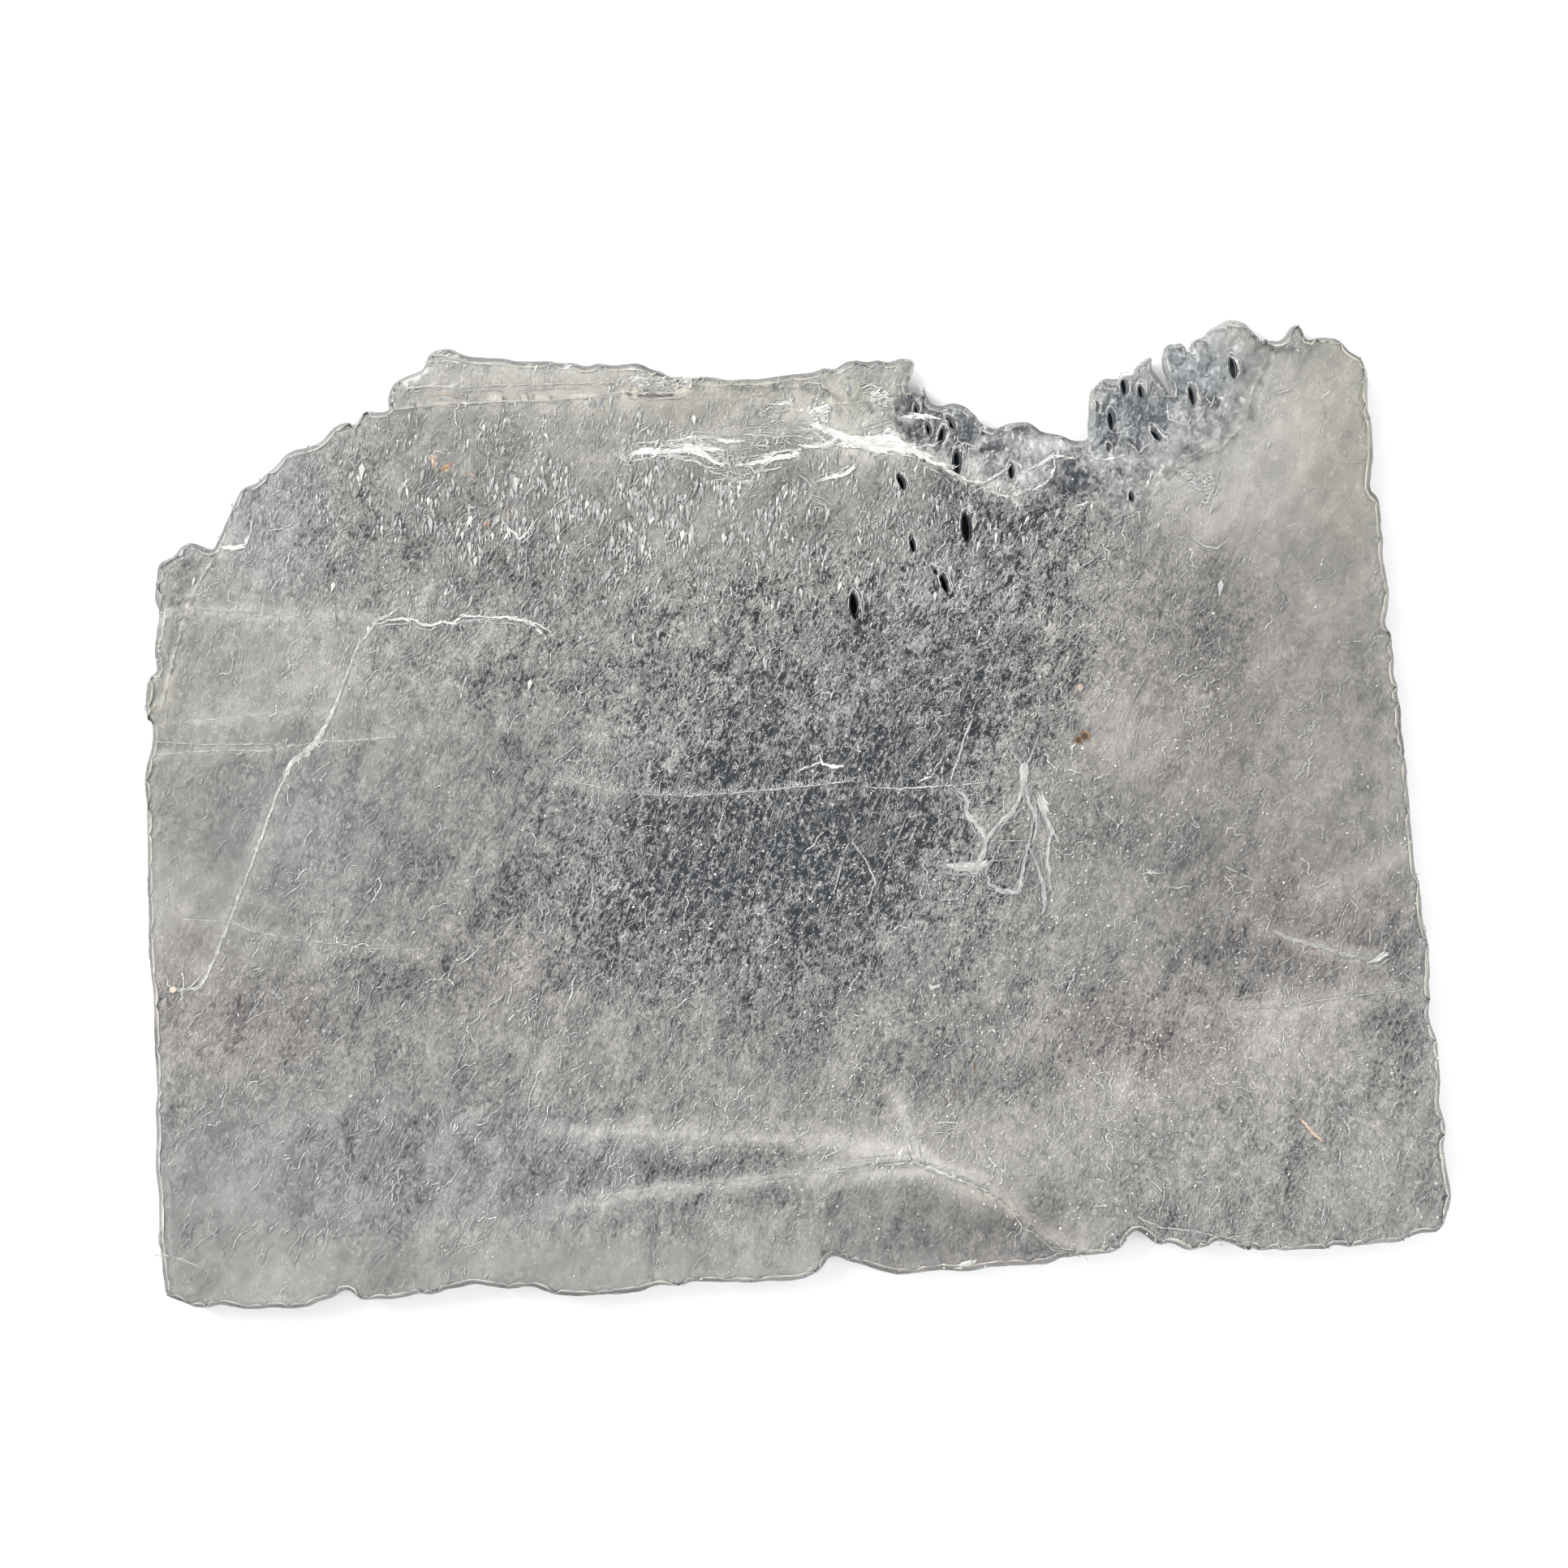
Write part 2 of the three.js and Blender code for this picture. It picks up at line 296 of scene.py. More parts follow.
def inwards(rim: Points) -> tuple[Points, Points]:
    """Inward normals and how far the rim can be drawn in at each point.

    Args:
        rim: The rim, anticlockwise.

    Returns:
        Unit normals and the room along them, in metres.
    """
    normal = normals_of(rim, True, 3)
    room = np.full(len(rim), 4 * MM)
    for first in range(0, len(rim), 256):
        part = slice(first, first + 256)
        gap = rim[None, :, :] - rim[part, None, :]
        ahead = (gap * normal[part, None, :]).sum(2)
        ball = (gap**2).sum(2) / np.maximum(2 * ahead, 1e-9)
        ball[ahead < 0.02 * MM] = 1.0
        room[part] = np.minimum(room[part], ball.min(1))
    return normal, np.maximum(0.45 * room - 0.05 * MM, 0)


def ragged(points: Points, closed: bool, reach: float, seed: int) -> Points:
    """A line roughened across its own direction, with its ends kept.

    Args:
        points: A finely divided line.
        closed: True if the last point joins the first.
        reach: How far a point may move, in metres.
        seed: The seed of the roughness.

    Returns:
        The roughened line.
    """
    rng = np.random.default_rng(seed)
    shift = np.zeros(len(points))
    for wave, share in ((9, 0.5), (4, 0.35), (1, 0.3)):
        knots = rng.uniform(-1, 1, len(points) // wave + 2)
        shift += share * np.interp(np.arange(len(points)) / wave, np.arange(len(knots)), knots)
    if not closed:
        shift[[0, -1]] = 0.0
    return points + normals_of(points, closed) * (shift * reach)[:, None]


def rim_loop(mesh: bpy.types.Mesh, height: float) -> Points:
    """The longest loop where a level plane cuts a mesh.

    Args:
        mesh: A closed mesh.
        height: The plane's height in metres.

    Returns:
        The loop as an array of (x, y), turning anticlockwise.
    """
    cut = bmesh.new()
    cut.from_mesh(mesh)
    bmesh.ops.remove_doubles(cut, verts=cut.verts, dist=1e-7)
    everything = [*cut.verts, *cut.edges, *cut.faces]
    made = bmesh.ops.bisect_plane(cut, geom=everything, plane_co=(0, 0, height), plane_no=(0, 0, 1))
    follows: dict[bmesh.types.BMVert, list[bmesh.types.BMVert]] = {}
    for edge in (g for g in made["geom_cut"] if isinstance(g, bmesh.types.BMEdge)):
        for here, there in (edge.verts, reversed(edge.verts)):
            follows.setdefault(here, []).append(there)
    loops, used = [], set()
    for here in follows:
        loop = []
        while here is not None and here not in used:
            used.add(here)
            loop.append((here.co.x, here.co.y))
            here = next((v for v in follows[here] if v not in used), None)
        loops.append(np.array(loop).reshape(-1, 2))
    cut.free()
    return tidied(max(loops, key=lambda loop: float(np.ptp(loop[:, 0])) if len(loop) else 0.0))


def tidied(loop: Points) -> Points:
    """A closed loop without points on straight runs, turned anticlockwise.

    Args:
        loop: The loop's points.

    Returns:
        The corners that shape it.
    """
    back, on = loop - np.roll(loop, 1, axis=0), np.roll(loop, -1, axis=0) - loop
    bend = np.abs(back[:, 0] * on[:, 1] - back[:, 1] * on[:, 0])
    length = np.linalg.norm(back, axis=1) * np.linalg.norm(on, axis=1)
    kept = loop[bend > 0.01 * np.maximum(length, 1e-14)]
    ahead = np.roll(kept, -1, axis=0)
    area = float(np.sum(kept[:, 0] * ahead[:, 1] - ahead[:, 0] * kept[:, 1]))
    return kept if area > 0 else kept[::-1].copy()


# ---- The slab's shape ----


@dataclass(frozen=True)
class Region:
    """A part of the crown that lies lower than the rest, bounded by a ragged riser.

    Attributes:
        outline: The closed outline in metres, reaching past the rim.
        floor: Gives the floor's height at plan positions.
        rough: How rough the floor is, from 0 to 1, for its finish.
    """

    outline: Points
    floor: Callable[[Points], Points]
    rough: float


@dataclass(frozen=True)
class Pit:
    """A lens-shaped solution pit: a wide kite at the crown that steps down to a slot, darkened with painted
    shade.

    Attributes:
        at: The slot's middle on the plotting grid.
        length: The slot's length in grid steps.
        width: The slot's width in grid steps.
        lean: How far the slot's far end leans to the left, in degrees.
        mouth: How much longer the mouth is than the slot.
        slate: How pale the painted shade of the lining is; 0 is black.
    """

    at: Pair
    length: float
    width: float
    lean: float
    mouth: float = 1.12
    slate: float = 1.0


# Each pit's slate sets how pale the painted shade in it is; 0 is black.
PITS = (
    Pit((1052, 747), 32, 10, 10, slate=0.0), Pit((1151, 703), 12, 4, 40, slate=0.0),
    Pit((1163, 719), 24, 7, 22, slate=0.0), Pit((1190, 650), 36, 11, 8, slate=0.35),
    Pit((1124, 671), 22, 6, 14, slate=0.3), Pit((1110, 594), 20, 8, 26), Pit((1179, 570), 31, 10, 4),
    Pit((1246, 580), 19, 7, 8), Pit((1129, 504), 14, 5, 6), Pit((1144, 528), 14, 6, 14),
    Pit((1160, 536), 22, 8, -8), Pit((1171, 520), 19, 6, 34), Pit((1212, 532), 8, 4, 20),
    Pit((1351, 500), 12, 6, 10), Pit((1370, 517), 24, 8, 10), Pit((1386, 475), 21, 8, 12),
    Pit((1407, 481), 17, 7, 14), Pit((1425, 535), 18, 7, 44), Pit((1366, 551), 10, 4, 12),
    Pit((1470, 486), 25, 8, 14), Pit((1521, 451), 28, 9, 12), Pit((1394, 612), 13, 5, 14),
)


@dataclass
class SlabShape:
    """The slab's outline and the heights of its crown, worked out from the frame.

    Attributes:
        node: The CAD node the slab is read from.
        ledge: The height of the ledges where the crown sheet stops short.
        scoop: The height of the scoop at its inner edge.
        etched: The height at which the dissolved corner starts to fall.
        rim_height: The height at which the rim is read from the CAD solid.
        pitch: The spacing of points along the rim.
        pit_floor: The height of the pits' floors.
        relief: How deep the crown's broad hollows are.
    """

    grid: PlotGrid
    node: Piece
    ledge: float = 10.6 * MM
    scoop: float = 12.8 * MM
    etched: float = 13.0 * MM
    rim_height: float = 5.2 * MM
    pitch: float = 0.45 * MM
    pit_floor: float = 2.5 * MM
    relief: float = 0.12 * MM
    rim: Points = field(init=False, repr=False)
    regions: list[Region] = field(init=False, repr=False)
    mouths: list[Points] = field(init=False, repr=False)

    CROWN_STEP_LEFT = (
        200, 868, 205, 850, 214, 810, 224, 775, 235, 740, 250, 706, 262, 686, 265, 660, 150, 640, 150, 872,
    )
    CROWN_STEP_FAR = (
        474, 506, 536, 499, 570, 497, 638, 494, 684, 494, 730, 489, 771, 485, 820, 485, 851, 483, 854, 473,
        897, 478, 966, 476, 1010, 478, 1022, 481, 1022, 498, 1050, 496, 1073, 494, 1075, 505, 1096, 504,
        1103, 489, 1120, 478, 1150, 440, 1120, 400, 440, 400, 440, 502,
    )
    SCOOP_OUTLINE = (
        1040, 1442, 1066, 1437, 1101, 1435, 1131, 1432, 1156, 1444, 1187, 1456, 1214, 1467, 1230, 1478,
        1245, 1490, 1257, 1508, 1278, 1523, 1297, 1539, 1336, 1545, 1344, 1620, 990, 1620, 1016, 1550,
        1020, 1500, 1030, 1466,
    )
    ETCHED_OUTLINE = (
        1112, 470, 1104, 505, 1112, 545, 1146, 566, 1168, 590, 1206, 604, 1246, 618, 1262, 604, 1290, 588,
        1330, 610, 1372, 640, 1410, 624, 1436, 590, 1470, 566, 1506, 552, 1534, 520, 1546, 476, 1562, 440,
        1576, 400, 1576, 340, 1130, 340,
    )

    def __post_init__(self) -> None:
        """Reads the rim and lays out the lowered regions."""
        self.low, self.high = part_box(NODE)
        self.thickness = self.high.z - self.low.z
        loop = rim_loop(self.node.data, self.rim_height)
        even = subdivided(loop, self.pitch, True)
        soft = sum(np.roll(even, shift, 0) for shift in range(-3, 4)) / 7
        fine = ragged(soft, True, 0.1 * MM, seed=11)
        margin = 1e-5
        self.rim = np.clip(
            fine,
            (self.low.x + margin, self.low.y + margin),
            (self.high.x - margin, self.high.y - margin),
        )
        self.lumps = SmoothNoise(21, (2.6 * MM, 4.2 * MM), NOISE_LEAN, octaves=3)
        self.undulation = SmoothNoise(22, (19 * MM, 31 * MM), NOISE_LEAN, octaves=2)
        self.regions = [
            Region(self._torn(self.CROWN_STEP_LEFT, 31), self._ledge_floor, 0.45),
            Region(self._torn(self.CROWN_STEP_FAR, 32), self._ledge_floor, 0.5),
            Region(self._torn(self.SCOOP_OUTLINE, 33), self._scoop_floor, 0.35),
            Region(self._torn(self.ETCHED_OUTLINE, 34), self._etched_floor, 0.7),
        ]
        self.mouths = [self._mouth(pit) for pit in PITS]

    def _torn(self, plotted: Sequence[float], seed: int) -> Points:
        """A closed outline with ragged edges.

        Args:
            plotted: The corners on the plotting grid, as x and y in turn.
            seed: The seed of the raggedness.

        Returns:
            The fine outline in metres, anticlockwise.
        """
        loop = tidied(self.grid.places(plotted))
        return ragged(subdivided(loop, self.pitch, True), True, 0.35 * MM, seed)

    def _ledge_floor(self, places: Points) -> Points:
        """The height of the ledges.

        Args:
            places: An array of (x, y) in metres.

        Returns:
            Heights in metres.
        """
        lumpy, wavy = 0.7 * MM, 0.5 * MM
        height = self.ledge + lumpy * (self.lumps.at(places) - 0.5)
        return height + wavy * (self.undulation.at(places) - 0.5)

    def _scoop_floor(self, places: Points) -> Points:
        """The shell-shaped scoop, which falls towards the near edge in shallow rings.

        Args:
            places: An array of (x, y) in metres.

        Returns:
            Heights in metres.
        """
        across, down = self.grid.plotted(places).T
        middle_x, middle_y, edge_y, ring_gap = 1131, 1400, 1432, 9.0
        slope, bend, ring, lumpy = 0.1, 2.2, 0.12, 0.25 * MM
        away = np.hypot(across - middle_x, down - middle_y)
        fall = (down - edge_y) * self.grid.step
        rings = np.sin(away / ring_gap + bend * self.undulation.at(places)) * ring * MM
        height = self.scoop - slope * np.maximum(fall, 0)
        return height + rings + lumpy * (self.lumps.at(places) - 0.5)

    def _etched_floor(self, places: Points) -> Points:
        """The dissolved corner, lumpy and falling towards the far edge.

        Args:
            places: An array of (x, y) in metres.

        Returns:
            Heights in metres.
        """
        across, down = self.grid.plotted(places).T
        start_x, start_y = 1330, 650
        slope, away_y, away_x = 0.15, 0.99, 0.12
        ridge, ridge_foot = 2.6 * MM, 0.75
        fall = ((start_y - down) * away_y + (across - start_x) * away_x) * self.grid.step
        ridges = 1 - np.abs(2 * self.lumps.at(places) - 1)
        return self.etched - slope * np.maximum(fall, 0) + ridge * (ridges - ridge_foot)

    def _mouth(self, pit: Pit) -> Points:
        """The closed outline of a pit's mouth, a little wide.

        Args:
            pit: The pit.

        Returns:
            The outline in metres, anticlockwise.
        """
        step = self.grid.step
        mouth = kite(pit.length * pit.mouth * step, pit.width * (pit.mouth + 0.1) * step)
        return turned(mouth, pit.lean) + self.grid.places(pit.at)[0]

    def top(self, places: Points) -> Points:
        """The crown's height at plan positions, without the pits.

        Args:
            places: An array of (x, y) in metres.

        Returns:
            Heights in metres.
        """
        dip = self.relief * np.clip(2.2 * self.undulation.at(places) - 0.75, 0, 1)
        height = self.thickness - 0.01 * MM - dip
        for region in self.regions:
            held = inside(region.outline, places)
            height[held] = np.minimum(height[held], region.floor(places[held]))
        return np.maximum(height, 3.2 * MM)


def kite(length: float, width: float, count: int = 14) -> Points:
    """A closed pointed and slightly skewed oval, upright and anticlockwise, about the origin.

    Args:
        length: The distance between its points.
        width: Its largest width.
        count: How many corners it has.

    Returns:
        The corners.
    """
    turn = np.arange(count) / count * 2 * math.pi
    along, across = np.sin(turn), np.cos(turn)
    across = np.sign(across) * np.abs(across) ** 1.25 + 0.16 * along
    return np.column_stack([across * width / 2, along * length / 2])


def turned(points: Points, degrees: float) -> Points:
    """Plan points turned anticlockwise about the origin.

    Args:
        points: The points.
        degrees: How far they are turned.

    Returns:
        The turned points.
    """
    turn = math.radians(degrees)
    matrix = np.array([[math.cos(turn), math.sin(turn)], [-math.sin(turn), math.cos(turn)]])
    return points @ matrix


# ---- Milkiness and grain over the plan ----


@dataclass(frozen=True)
class Cloud:
    """A soft milky patch, or with a negative lift a clearer window.

    Attributes:
        x, y: The middle on the plotting grid.
        wide, tall: How far it spreads along x and along y, in grid steps.
        lift: How many grey steps out of 255 it lightens the crystal.
    """

    x: float
    y: float
    wide: float
    tall: float
    lift: float


WINDOWS = tuple(Cloud(*row) for row in (
    (980, 1000, 260, 170, -26), (1010, 1040, 120, 90, -16), (1020, 1055, 70, 60, -14),
    (1160, 820, 110, 80, -12), (760, 1000, 60, 50, -16), (1640, 1160, 120, 70, -14),
    (1780, 1270, 60, 60, -10), (1000, 1000, 190, 130, -20), (930, 930, 80, 90, -10),
    (1090, 980, 60, 90, -8), (1160, 870, 80, 60, -24), (1250, 800, 60, 90, -18), (1050, 760, 55, 50, -18),
    (890, 860, 60, 80, -18), (780, 1150, 110, 80, -24), (850, 1070, 110, 60, -14),
    (950, 1200, 100, 80, -16), (640, 1100, 60, 60, -10), (1190, 640, 50, 60, -28), (1310, 720, 40, 80, -15),
    (610, 700, 60, 50, -22), (480, 1220, 70, 50, -20), (330, 1260, 70, 60, -12), (1520, 1180, 60, 60, -26),
    (1450, 770, 70, 70, -16), (1420, 1050, 80, 50, -14), (1270, 1320, 60, 30, -20),
    (1130, 1320, 60, 40, -18), (1420, 1290, 60, 40, -14), (640, 1440, 60, 60, -12),
    (850, 1450, 80, 40, -10), (1190, 1520, 110, 40, -32), (1740, 1290, 60, 60, -15),
    (1160, 520, 60, 50, -40), (1400, 500, 70, 60, -38), (1500, 440, 50, 50, -30),
    (950, 1030, 210, 130, -10), (1060, 1050, 80, 80, -18), (780, 820, 70, 50, -12), (1215, 820, 60, 50, -9),
    (1000, 820, 50, 50, -9), (990, 560, 50, 36, -18), (560, 1040, 80, 80, -10), (1550, 1010, 60, 60, -10),
    (225, 1270, 40, 60, -10), (1270, 1545, 90, 30, -22), (1440, 1450, 60, 50, 19), (450, 730, 50, 40, 8),
    (1770, 1440, 36, 60, -22),
))
CLOUDS = tuple(Cloud(*row) for row in (
    (900, 1455, 170, 34, -25), (800, 484, 260, 16, 14), (560, 470, 50, 20, 12), (940, 545, 120, 30, 10),
    (520, 825, 60, 8, -22), (650, 838, 110, 10, -24), (470, 1500, 60, 40, 8), (300, 650, 50, 40, 33),
    (290, 750, 90, 40, 22), (390, 820, 90, 80, 30), (260, 880, 80, 50, 14), (620, 460, 150, 40, 42),
    (820, 500, 150, 60, 26), (1000, 520, 130, 60, 32), (1010, 640, 60, 60, -14), (1090, 560, 100, 30, 22),
    (1560, 520, 100, 90, 33), (1480, 610, 60, 60, 34), (1620, 600, 80, 100, 14), (1260, 560, 60, 40, 18),
    (1380, 910, 100, 80, 22), (1270, 1030, 60, 90, 14), (1580, 1270, 80, 60, 28), (1080, 1420, 100, 40, 20),
    (1230, 1420, 100, 50, 20), (1340, 1350, 80, 50, 20), (1700, 1440, 60, 60, 15), (300, 1560, 120, 50, 24),
    (700, 1560, 200, 35, 15), (930, 1540, 80, 60, 14), (210, 1150, 50, 200, 15), (660, 1260, 100, 50, 10),
    (1550, 1090, 60, 50, -14), (1160, 960, 90, 60, -16), (480, 1090, 100, 60, -10),
    (450, 1430, 80, 60, -14), (600, 860, 90, 60, 8), (460, 570, 50, 40, 25), (950, 1360, 90, 40, 11),
    (1110, 1270, 60, 40, 8), (230, 1410, 60, 90, 8), (1640, 470, 70, 40, 12), (1095, 475, 40, 20, 16),
    (1560, 640, 60, 60, 10), (840, 620, 150, 60, 8),
))
LOBES = tuple(Cloud(*row) for row in (
    (1128, 498, 26, 13, -46), (1130, 532, 20, 12, -44), (1185, 517, 16, 14, -46), (1222, 546, 20, 7, -36),
    (1265, 525, 22, 8, -40), (1325, 588, 30, 26, -48), (1366, 470, 7, 7, -40), (1394, 487, 11, 9, -40),
    (1420, 510, 24, 14, -44), (1406, 543, 8, 13, -40), (1372, 540, 12, 9, -40), (1362, 512, 16, 18, -34),
    (1451, 434, 12, 11, -34), (1484, 466, 13, 10, -36), (1494, 492, 9, 8, -36), (1529, 493, 6, 10, -34),
    (1468, 518, 7, 10, -36), (1465, 557, 12, 9, -30), (1582, 433, 14, 6, -30), (1270, 640, 60, 26, -22),
    (1223, 600, 16, 9, 40), (1205, 576, 14, 10, 26), (1262, 588, 16, 12, 30), (1300, 548, 34, 9, 30),
    (1490, 545, 14, 10, 34), (1525, 420, 28, 22, 22), (1415, 458, 11, 20, 24), (1450, 508, 12, 10, 26),
    (1385, 565, 30, 9, 26), (1124, 512, 20, 4, 40),
))
BLUSHES = tuple(Cloud(*row) for row in (
    (1600, 800, 260, 300, 1.0), (1150, 510, 70, 50, -3.5), (1370, 530, 120, 80, -3.5),
    (1480, 450, 60, 50, -3.0), (960, 1000, 240, 180, -1.5), (340, 620, 60, 80, -3.0),
    (1600, 1130, 110, 70, 4.5), (1420, 1270, 110, 50, 4.0), (300, 1260, 110, 60, 4.0),
    (230, 1190, 60, 60, 2.0), (1210, 1540, 100, 50, 4.0), (1500, 900, 240, 260, 1.6),
    (620, 1190, 140, 80, 2.0), (1300, 1300, 500, 150, 1.0),
))
COOLS = tuple(Cloud(*row) for row in (
    (820, 600, 330, 110, -2.0), (1560, 900, 260, 300, -1.5), (970, 1030, 190, 140, 2.2),
    (1130, 850, 110, 120, 2.0), (1210, 700, 70, 80, 3.5), (1290, 560, 110, 60, 3.0),
    (1160, 510, 60, 40, 3.8), (1400, 500, 70, 60, 3.8), (1480, 460, 60, 40, 2.6), (340, 640, 60, 90, 3.5),
    (500, 1440, 330, 70, 3.0), (380, 1020, 100, 100, 1.5), (830, 1130, 140, 90, 1.2),
    (1000, 480, 520, 36, -3.0), (1680, 540, 80, 200, -4.0), (195, 850, 40, 150, -3.0),
    (1190, 1512, 110, 45, -3.5),
))


@dataclass(frozen=True)
class SoftLine:
    """A hazy line: the glow of a fracture that lies aslant in the crystal.

    Attributes:
        path: Its corners on the plotting grid, as x and y in turn.
        reach: How far the haze spreads to each side, in grid steps.
        lift: How many grey steps out of 255 it lightens the crystal.
    """

    path: tuple[float, ...]
    reach: float
    lift: float


SOFT_LINES = (
    SoftLine((194, 755, 233, 750, 282, 754, 347, 759, 455, 757), 6, 34),
    SoftLine((191, 930, 286, 924, 325, 926, 397, 914, 466, 908, 527, 900), 5, 28),
    SoftLine((198, 893, 286, 884, 397, 874), 5, 24),
    SoftLine((225, 1132, 286, 1136, 328, 1150, 374, 1159, 447, 1168, 527, 1170), 7, 18),
    SoftLine((493, 748, 455, 778, 424, 842, 390, 914, 344, 972, 294, 1106, 248, 1217), 7, 28),
    SoftLine((680, 960, 760, 977, 850, 982, 950, 976, 1050, 970, 1215, 968), 6, 34),
    SoftLine((711, 1480, 818, 1464, 956, 1450, 1047, 1443, 1130, 1431), 13, 44),
    SoftLine((719, 1395, 897, 1399, 1040, 1405, 1131, 1430), 18, 28),
    SoftLine((1060, 1428, 1131, 1430, 1180, 1450), 20, 22),
    SoftLine((1100, 1425, 1131, 1430, 1187, 1452, 1245, 1486, 1278, 1518, 1336, 1542), 12, 54),
    SoftLine((1131, 1430, 1112, 1360), 12, 22),
    SoftLine((1131, 1430, 1060, 1452, 990, 1490), 9, 14),
    SoftLine((1557, 1143, 1590, 1157, 1625, 1165, 1660, 1177, 1700, 1180), 10, 34),
    SoftLine((1518, 1243, 1600, 1238, 1738, 1219), 9, 30),
    SoftLine((1178, 972, 1203, 1015, 1215, 1034, 1205, 1066), 8, 26),
    SoftLine((1215, 1034, 1247, 1001, 1262, 948), 8, 26),
    SoftLine((1268, 990, 1287, 1003, 1292, 1080), 8, 22),
    SoftLine((1620, 1100, 1700, 1060, 1750, 1040), 16, 24),
    SoftLine((1400, 1340, 1480, 1330, 1600, 1290), 20, 16),
    SoftLine((1010, 600, 900, 680, 870, 760, 830, 810), 16, 16),
    SoftLine((284, 655, 262, 690, 235, 740, 215, 800, 200, 870), 8, 38),
    SoftLine((474, 500, 570, 496, 730, 488, 851, 482), 6, 26),
    SoftLine((940, 700, 1180, 600), 5, 8),
    SoftLine((1262, 953, 1275, 1003, 1290, 1080), 12, 14),
    SoftLine((1262, 953, 1234, 1010, 1207, 1060), 12, 14),
    SoftLine((757, 566, 800, 556, 860, 557, 900, 571, 980, 563), 8, 26),
    SoftLine((830, 543, 880, 537, 920, 543, 1000, 522, 1028, 536), 9, 22),
    SoftLine((1004, 530, 1045, 543, 1096, 547, 1140, 560, 1190, 588, 1250, 612), 12, 40),
    SoftLine((1250, 612, 1286, 598, 1300, 572, 1340, 566), 7, 24),
    SoftLine((960, 504, 1004, 510, 1018, 505), 10, 26),
    SoftLine((1010, 531, 1060, 545, 1110, 551), 15, 34),
    SoftLine((1078, 548, 1104, 556), 22, 26),
    SoftLine((985, 509, 1012, 512), 12, 30),
    SoftLine((1076, 490, 1092, 494), 12, 30),
    SoftLine((556, 690, 600, 700), 10, 16),
    SoftLine((660, 1392, 780, 1394, 897, 1400, 1000, 1405, 1080, 1413, 1131, 1430), 6, 26),
    SoftLine((690, 1487, 818, 1466, 956, 1449, 1047, 1438, 1131, 1429), 6, 24),
    SoftLine((1131, 1430, 1118, 1390, 1105, 1340), 8, 26),
)


@dataclass(frozen=True)
class GrainZone:
    """How the feathery grain runs round one place.

    Attributes:
        x, y: The middle on the plotting grid.
        wide, tall: How far the zone spreads along x and along y, in grid steps.
        many: How densely the feathers lie.
        order: How parallel they lie, from 0 (any way) to 1 (all leaning alike).
        long: Their length against the common one.
        plump: Their width against the common one.
        rough: How strongly the haze opens and closes between them.
        shine: How many grey steps their bright ends stand out.
        lean: The way they run, in degrees from X.
    """

    x: float
    y: float
    wide: float
    tall: float
    many: float
    order: float
    long: float
    plump: float
    rough: float
    shine: float
    lean: float = 67.0

    def values(self) -> Points:
        """The zone's numbers in the order that Grain has."""
        return np.array([self.many, self.order, self.long, self.plump, self.rough, self.shine, self.lean])


class Grain(NamedTuple):
    """The grain at many places: a value for each place under each of a zone's names."""

    many: Points
    order: Points
    long: Points
    plump: Points
    rough: Points
    shine: Points
    lean: Points


COMMON_GRAIN = GrainZone(0, 0, 1, 1, 0.8, 0.6, 1.0, 1.0, 0.5, 30)
GRAIN_ZONES = tuple(GrainZone(*row) for row in (
    (1000, 930, 290, 230, 1.35, 0.55, 0.8, 0.75, 1.15, 40),
    (1240, 760, 110, 120, 1.3, 0.45, 0.8, 0.75, 1.25, 40),
    (900, 1120, 240, 120, 1.2, 0.65, 0.9, 0.75, 1.05, 40),
    (840, 610, 290, 70, 0.75, 0.85, 0.9, 1.2, 0.4, 40), (640, 690, 170, 110, 1.0, 0.85, 1.0, 1.2, 0.68, 42),
    (620, 830, 160, 36, 1.0, 0.8, 1.0, 1.0, 0.8, 36, 50),
    (560, 960, 190, 110, 0.7, 0.7, 0.7, 0.8, 0.41, 28),
    (450, 1230, 230, 110, 1.0, 0.6, 0.9, 0.9, 0.47, 40, 60),
    (450, 1400, 230, 130, 0.8, 0.85, 1.4, 1.0, 0.47, 34, 62),
    (760, 1330, 210, 150, 0.9, 0.85, 1.1, 0.9, 0.54, 34, 64),
    (1120, 1250, 210, 120, 0.9, 0.6, 0.9, 0.9, 0.54, 34),
    (1450, 1000, 200, 190, 1.5, 0.2, 0.5, 0.7, 0.34, 34),
    (1650, 950, 110, 150, 1.2, 0.2, 0.45, 0.65, 0.22, 26),
    (1480, 760, 100, 100, 0.7, 0.3, 0.6, 0.8, 0.5, 26), (1450, 1250, 110, 70, 0.9, 0.1, 0.4, 0.9, 0.54, 34),
    (1560, 1370, 200, 100, 1.2, 0.6, 1.2, 0.8, 0.61, 34, 150),
    (1600, 640, 130, 190, 0.08, 0.4, 0.8, 0.9, 0.14, 16),
    (290, 900, 120, 110, 0.35, 0.5, 0.8, 0.9, 0.34, 28), (250, 1080, 90, 110, 0.25, 0.6, 0.9, 0.9, 0.2, 24),
    (280, 1490, 90, 100, 0.2, 0.85, 1.2, 0.9, 0.16, 24, 62),
    (640, 1568, 420, 32, 0.2, 0.8, 1.0, 0.9, 0.16, 24), (1170, 1510, 120, 45, 0.4, 0.1, 0.4, 1.3, 0.27, 34),
    (650, 500, 230, 26, 0.4, 0.7, 0.8, 0.9, 0.27, 24), (380, 620, 70, 90, 0.6, 0.6, 1.0, 1.0, 0.7, 38),
    (1200, 540, 130, 50, 0.06, 0.4, 0.6, 1.0, 0.8, 30), (1330, 590, 60, 40, 0.1, 0.4, 0.6, 1.0, 0.8, 30),
    (1440, 490, 110, 60, 0.05, 0.4, 0.6, 1.0, 0.8, 30),
))


def rows_of(numbers: Sequence[float], width: int = 2) -> Points:
    """Plotted numbers as rows of that many."""
    return np.reshape(numbers, (-1, width)).astype(float)


